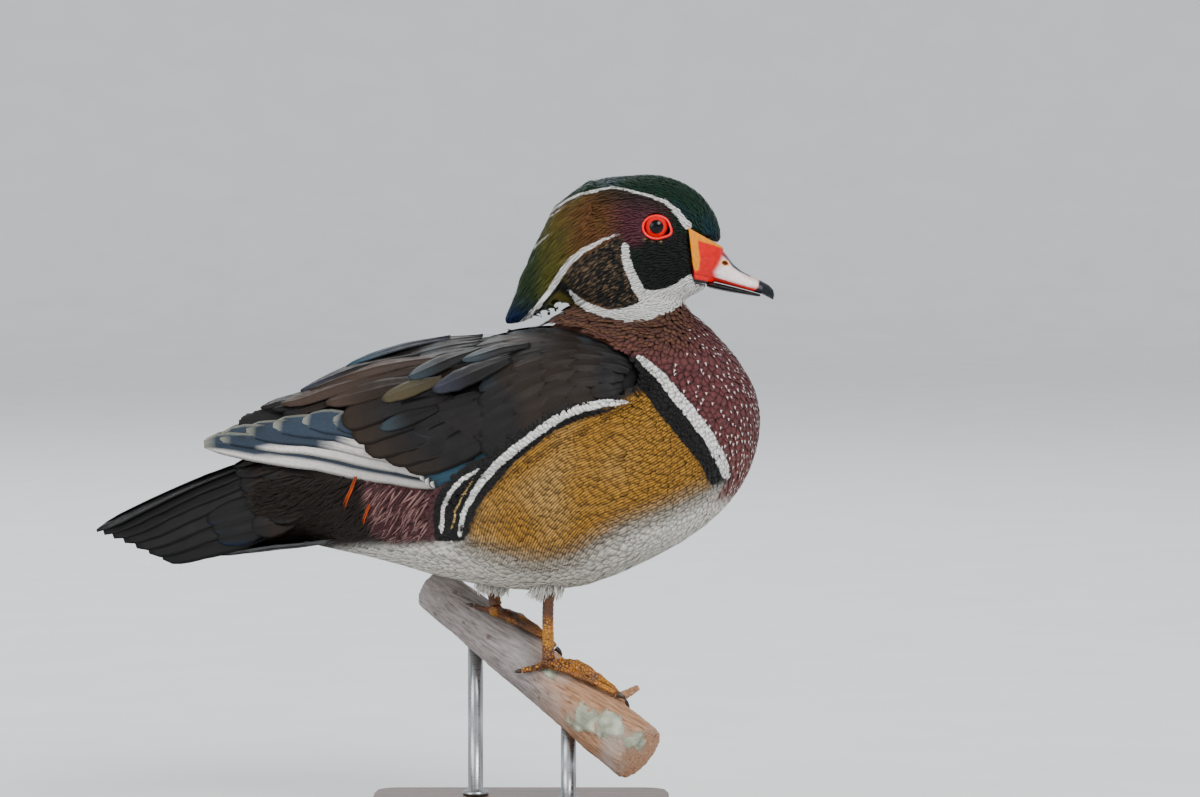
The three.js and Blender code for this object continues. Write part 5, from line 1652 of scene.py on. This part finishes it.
def wood_material():
    n = Nodes("stand_wood", Coat_Weight=0.25, Coat_Roughness=0.25)
    inputs = {"Vector": n.place((0.25, 1, 1)), "Scale": 28.0, "Distortion": 7.0, "Detail": 3.0,
              "Detail Scale": 1.4}
    bands = n.add("TexWave", inputs, bands_direction="Y").outputs[1]
    pores = n.noise(n.place((1, 9, 9)), 160.0, 4.0)
    colour = n.blend(bands, "2A1B13", "5A3A26")
    colour = n.blend(n.ramp(pores, 0.62, 0.72, 0.0, 0.7), colour, "140C08")
    return n.finish(colour, n.ramp(pores, 0.3, 0.7, 0.34, 0.5), n.bump(pores, 0.08, 0.4))


def metal_material():
    n = Nodes("stand_metal", Metallic=1.0)
    brushed = n.noise(n.place((1, 1, 0.03)), 1500.0, 2.0)
    turned = n.noise(n.place((0.1, 0.1, 1)), 900.0, 2.0)
    colour = n.blend(n.ramp(brushed, 0.3, 0.7), "8C8E90", "C2C3C4")
    return n.finish(colour, n.ramp(turned, 0.3, 0.7, 0.24, 0.38), n.bump(brushed, 0.02, 0.3))


def floor_material():
    n = Nodes("floor")
    fine = n.noise(n.place(), 14.0, 3.0)
    colour = n.blend(n.ramp(fine, 0.3, 0.7), "E4E5E6", "E9EAEA")
    return n.finish(colour, n.ramp(fine, 0.3, 0.7, 0.8, 0.9))


# Eyes

def eyes(iris, ring_material):
    for name, side in (("eye_left", 1), ("eye_right", -1)):
        centre = middle_of(name)
        ball_of_eye(name + "_ball", centre, side, iris, name)
        eye_ring(name + "_ring", centre, side, ring_material)


def ball_of_eye(name, centre, side, material, node):
    """An eyeball with a slightly raised clear front, its own middle as its origin."""
    a = np.linspace(0.02, math.pi * 0.62, 40)
    b = circle(64)
    radius = EYE["radius"] + EYE["front"] * np.exp(-(a / 0.5) ** 2)
    flat = (radius * np.sin(a))[:, None]
    rings = np.stack([flat * np.cos(b), side * (radius * np.cos(a))[:, None] + 0 * b, flat * np.sin(b)], -1)
    thing = closed_loft(name, rings)
    thing.location = Vector(centre * MM)
    finished(thing, material, "eye", node)


def ring_path(count):
    """The eye ring's middle line in side view, with its point at the front corner."""
    a = circle(count)
    long, turn = RING["corner"]
    stretch = 1 + long * np.maximum(np.cos(a + turn), 0) ** 12
    return np.cos(a) * RING["long"] * stretch, (np.sin(a) * RING["tall"] - RING["drop"]) * stretch


def eye_ring(name, centre, side, material):
    """A bare ring of skin round the eye, leaning with the head."""
    count, sides = RING["count"], RING["sides"]
    x, z = ring_path(count)
    level = EYE["radius"] - EYE["bulge"] - 0.05
    slant = np.where(z > 0, *RING["lean"]) * z
    middle = np.stack([x, side * (level - slant - 0.03 * np.maximum(x, 0)), z], -1) + centre
    along = unit(np.roll(middle, -1, 0) - np.roll(middle, 1, 0))
    out = np.array([0, side, 0.0])
    across = unit(np.cross(along, out))
    b = circle(sides)
    thick = RING["thick"] + RING["uneven"] * hashed(middle, 1.4)[:, None]
    rings = (middle[:, None] + across[:, None] * (np.cos(b) * thick)[..., None]
             + out * (np.sin(b) * thick * 1.35)[..., None])
    quads = loft_quads(count + 1, sides) % (count * sides)
    if side < 0:
        quads = quads[:, ::-1]
    thing = new_mesh(name, rings.reshape(-1, 3), quads)
    paint = Paint((count * sides,), "DA2414")
    inner = np.tile(smooth(0.2, 0.9, -np.cos(b) * side), count)
    paint.lay(inner * 0.35, "8A1408")
    keep_colour(thing.data, "Paint", paint.colour)
    finished(thing, material, "eye")


# Bill

def paint_bill(points):
    x, z = points[:, 0], points[:, 2]
    paint = Paint(x.shape, "B82018")
    paint.lay(smooth(0.5, 0.75, hashed(points, 5)) * 0.35, "C63A30")
    paint.lay(in_area(x, z, BILL_PALE, 2.1), "E8DEDA")
    paint.lay(on_line(x, z, MOUTH_RED, 0.4) * 0.9, "CF2F2C")
    # Painted shade: a dark line in the crease above the gape
    groove = [(bx, bz + 1.2, 0.5) for bx, bz, _ in MOUTH_RED]
    paint.lay(on_line(x, z, groove, 0.3) * 0.7, "6A1212")
    paint.lay(in_area(x, z, BILL_YELLOW, 0.35), "CC8600")
    top = smooth(6.2, 4.8, np.abs(points[:, 1]))
    paint.lay(on_line(x, z, CULMEN, 0.3) * top, "1C2330")
    # A painted bluish highlight along the culmen
    sheen = [(bx + 0.5, bz + 0.5, 0.7) for bx, bz, _ in CULMEN[1:]]
    paint.lay(on_line(x, z, sheen, 0.4) * top * 0.6, "5A6E9A")
    paint.lay(in_area(x, z, BILL_NAIL, 0.5), "0D1016")
    paint.lay(smooth(0.3, -0.3, z - level_at(x, BILL_LOW_EDGE)) * smooth(116, 112, x), "0B0C10")
    # The nostril: a pale rim round an opening darkened with painted shade
    dx, dz = x - NOSTRIL[0], z - NOSTRIL[1]
    rim = np.hypot((dx - 0.35 * dz) / 2.5, (dz + 0.3 * dx) / 1.7)
    paint.lay(smooth(1.2, 0.95, rim), "E2B080")
    paint.lay(smooth(0.8, 0.6, rim), "5A2410")
    return paint.colour


def paint_jaw(points):
    x, z = points[:, 0], points[:, 2]
    paint = Paint(x.shape, "08090B")
    paint.lay(smooth(103, 92, x) * smooth(282.5, 285.5, z) * 0.7, "7A2520")
    return paint.colour


def bill(frame, material):
    halves = (("bill_upper", "bill", paint_bill), ("bill_lower", "bill_black", paint_jaw))
    for node, slot, painter in halves:
        thing = finer(frame, node, node + "_fine", node)
        keep_colour(thing.data, "Paint", painter(points_of(thing)))
        finished(thing, material, slot, node)


# Legs and feet

def legs(frame, skin_finish, claw_finish):
    for node in ("leg_left", "leg_right", "foot_left", "foot_right"):
        thing = finer(frame, node, node + "_fine", node.split("_")[0])
        points, normals = points_of(thing), normals_of(thing)
        ridges = np.sin(points @ np.array([0.6, 0.3, 1.0]) * 2.6 + 4 * hashed(points, 6))
        move_points(thing, points + normals * (0.12 * ridges)[:, None])
        # Dark blotches, and painted shade under the belly, on faces turned down and on the far leg
        shade_under_belly = smooth(98, 124, points[:, 2]) * 0.85
        under = smooth(0.1, -0.5, normals[:, 2]) * 0.4
        blotches_and_far_shade = (0.75 if "left" in node else 0.45) * smooth(0.3, 0.6, hashed(points, 8))
        keep_value(thing.data, "LegShadeAndBlotches", np.clip(np.maximum(shade_under_belly, under) + blotches_and_far_shade, 0, 1))
        finished(thing, skin_finish, "leg_skin", node)
    for node in sorted(n for n in frame["nodes"] if n.startswith("claw_")):
        finished(finer(frame, node, node + "_fine", "claw"), claw_finish, "claw", node)


# Perch and stand

def perch(frame, material):
    """The branch with grooves along it, except at its cut ends and where the feet grip it."""
    thing = finer(frame, "perch_branch", "perch_bark", "perch")
    points, normals = points_of(thing), normals_of(thing)
    yaw, slope = math.radians(BARK["yaw"]), math.radians(BARK["slope"])
    along = np.array([math.cos(slope) * math.cos(yaw), math.cos(slope) * math.sin(yaw), -math.sin(slope)])
    level = points @ along
    stretched = points - along * (level * BARK["drawn"])[:, None]
    grooves = hashed(stretched, 3.4) + 0.6 * hashed(points, 1.8) - 0.8
    flat = np.abs(normals @ along)
    grip = smooth(*BARK["grip"], near_feet(frame, points))
    relief = (BARK["deep"] * grooves - 0.25) * (1 - smooth(0.7, 0.95, flat)) * grip
    patch = lichen_at(points)
    crust = BARK["crust"] * smooth(0.4, 0.6, patch) * smooth(0.4, 0.6, hashed(points, 2.4))
    relief = relief + crust * grip
    move_points(thing, points + normals * relief[:, None])
    thing.data.attributes.new("Along", "FLOAT_VECTOR", "POINT").data.foreach_set(
        "vector", stretched.astype(np.float32).ravel())
    keep_value(thing.data, "Lichen", patch)
    finished(thing, material, "bark", "perch_branch")


def near_feet(frame, points):
    """Distance to the feet."""
    feet = combined("feet", [frame["nodes"][n].data for n in ("foot_left", "foot_right")])
    tree = tree_of(points_of(feet))
    bpy.data.objects.remove(feet)
    return np.array([tree.find(p)[2] for p in points.tolist()])


def lichen_at(points):
    """How thick the lichen is, 0 to 1."""
    x, z = points[:, 0], points[:, 2]
    patch = np.zeros(len(points))
    for (cx, cz), size in LICHEN:
        away = np.hypot(x - cx, z - cz) / size
        patch = np.maximum(patch, 1 - away * 0.8)
    return np.clip(patch * (0.45 + 0.9 * hashed(points, 6)), 0, 1)


def rod(name, node, material):
    """A round rod with a turned foot."""
    low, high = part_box(node)
    x, y, _ = middle_of(node)
    radius = (high.x - low.x) / 2 / MM
    bottom, top = low.z / MM, high.z / MM
    profile = [(share, bottom + up) for share, up in ROD_FOOT] + [(1, (bottom + top) / 2), (1, top - 0.4)]
    angle = circle(48)
    rings = [np.stack([x + r * np.cos(angle), y + r * np.sin(angle), z + 0 * angle], -1)
             for r, z in ((share * radius, z) for share, z in profile)]
    finished(closed_loft(name, np.array(rings)), material, "stand_metal", node)


def stand(frame, wood, metal):
    base = frame["nodes"]["stand_base"]
    base.data.materials.clear()
    base.data.materials.append(wood)
    rod("rod_front", "stand_rod_front", metal)
    rod("rod_back", "stand_rod_back", metal)


# Camera, floor and light

def point_at(thing, target):
    thing.rotation_euler = (Vector(target) - thing.location).to_track_quat("-Z", "Y").to_euler()


def make_camera():
    data = bpy.data.cameras.new("camera")
    camera = placed("camera", data)
    target = Vector(CAMERA["target"]) * MM
    tilt = math.radians(CAMERA["elevation"])
    away = CAMERA["distance"] * MM
    camera.location = target + Vector((0, -math.cos(tilt) * away, math.sin(tilt) * away))
    point_at(camera, target)
    data.sensor_width = CAMERA["sensor"]
    data.lens = CAMERA["sensor"] * CAMERA["distance"] / CAMERA["width"]
    data.clip_end = CAMERA["clip"]
    bpy.context.scene.camera = camera


def make_floor(material):
    """A plain floor that rises softly far away, all round."""
    reach = np.linspace(0.02, FLOOR["edge"], FLOOR["rings"])[:, None]
    height = FLOOR["height"] * smooth(FLOOR["flat"], FLOOR["edge"], reach) ** 1.3
    angle = circle(FLOOR["sides"])
    points = np.stack([reach * np.cos(angle), reach * np.sin(angle), height + 0 * angle], -1)
    quads = loft_quads(FLOOR["rings"], FLOOR["sides"])[:, ::-1]
    floor = new_mesh("floor", points.reshape(-1, 3) / MM, quads, np.arange(FLOOR["sides"])[None])
    floor.data.materials.append(material)


def make_lights():
    target = Vector(CAMERA["target"]) * MM
    for name, light in LIGHTS.items():
        data = bpy.data.lights.new(name, "AREA")
        data.shape = "DISK"
        data.size = light["size"]
        data.energy = light["power"]
        thing = placed(name, data)
        thing.location = Vector(light["at"])
        point_at(thing, target)
    world = bpy.data.worlds.new("studio")
    world.use_nodes = True
    sky = world.node_tree.nodes["Background"]
    sky.inputs[0].default_value = (*tone(WORLD["colour"]), 1)
    sky.inputs[1].default_value = WORLD["strength"]
    bpy.context.scene.world = world


def main():
    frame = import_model()
    make_camera()
    make_lights()
    make_floor(floor_material())
    rng = np.random.default_rng(SEED)
    body, head, wing = [plumage_material(name, **look) for name, look in PLUMAGE.items()]
    skin, form = make_form(frame)
    finish_skin(skin, form, body)
    body_coats(form, body, rng)
    head_coats(form, head, rng)
    wing_coats(wing, rng)
    tail_coats(wing, rng)
    plumes(form, body, rng)
    ring = painted_material("eye_ring", 0.34, 900.0, 0.12, Specular_IOR_Level=0.6)
    eyes(eye_material(), ring)
    bill(frame, painted_material("bill", 0.36, 500.0, 0.05, Specular_IOR_Level=0.22, Coat_Weight=0.08))
    legs(frame, leg_material(), claw_material())
    thigh_tufts(form, body, rng)
    perch(frame, bark_material())
    stand(frame, wood_material(), metal_material())


main()
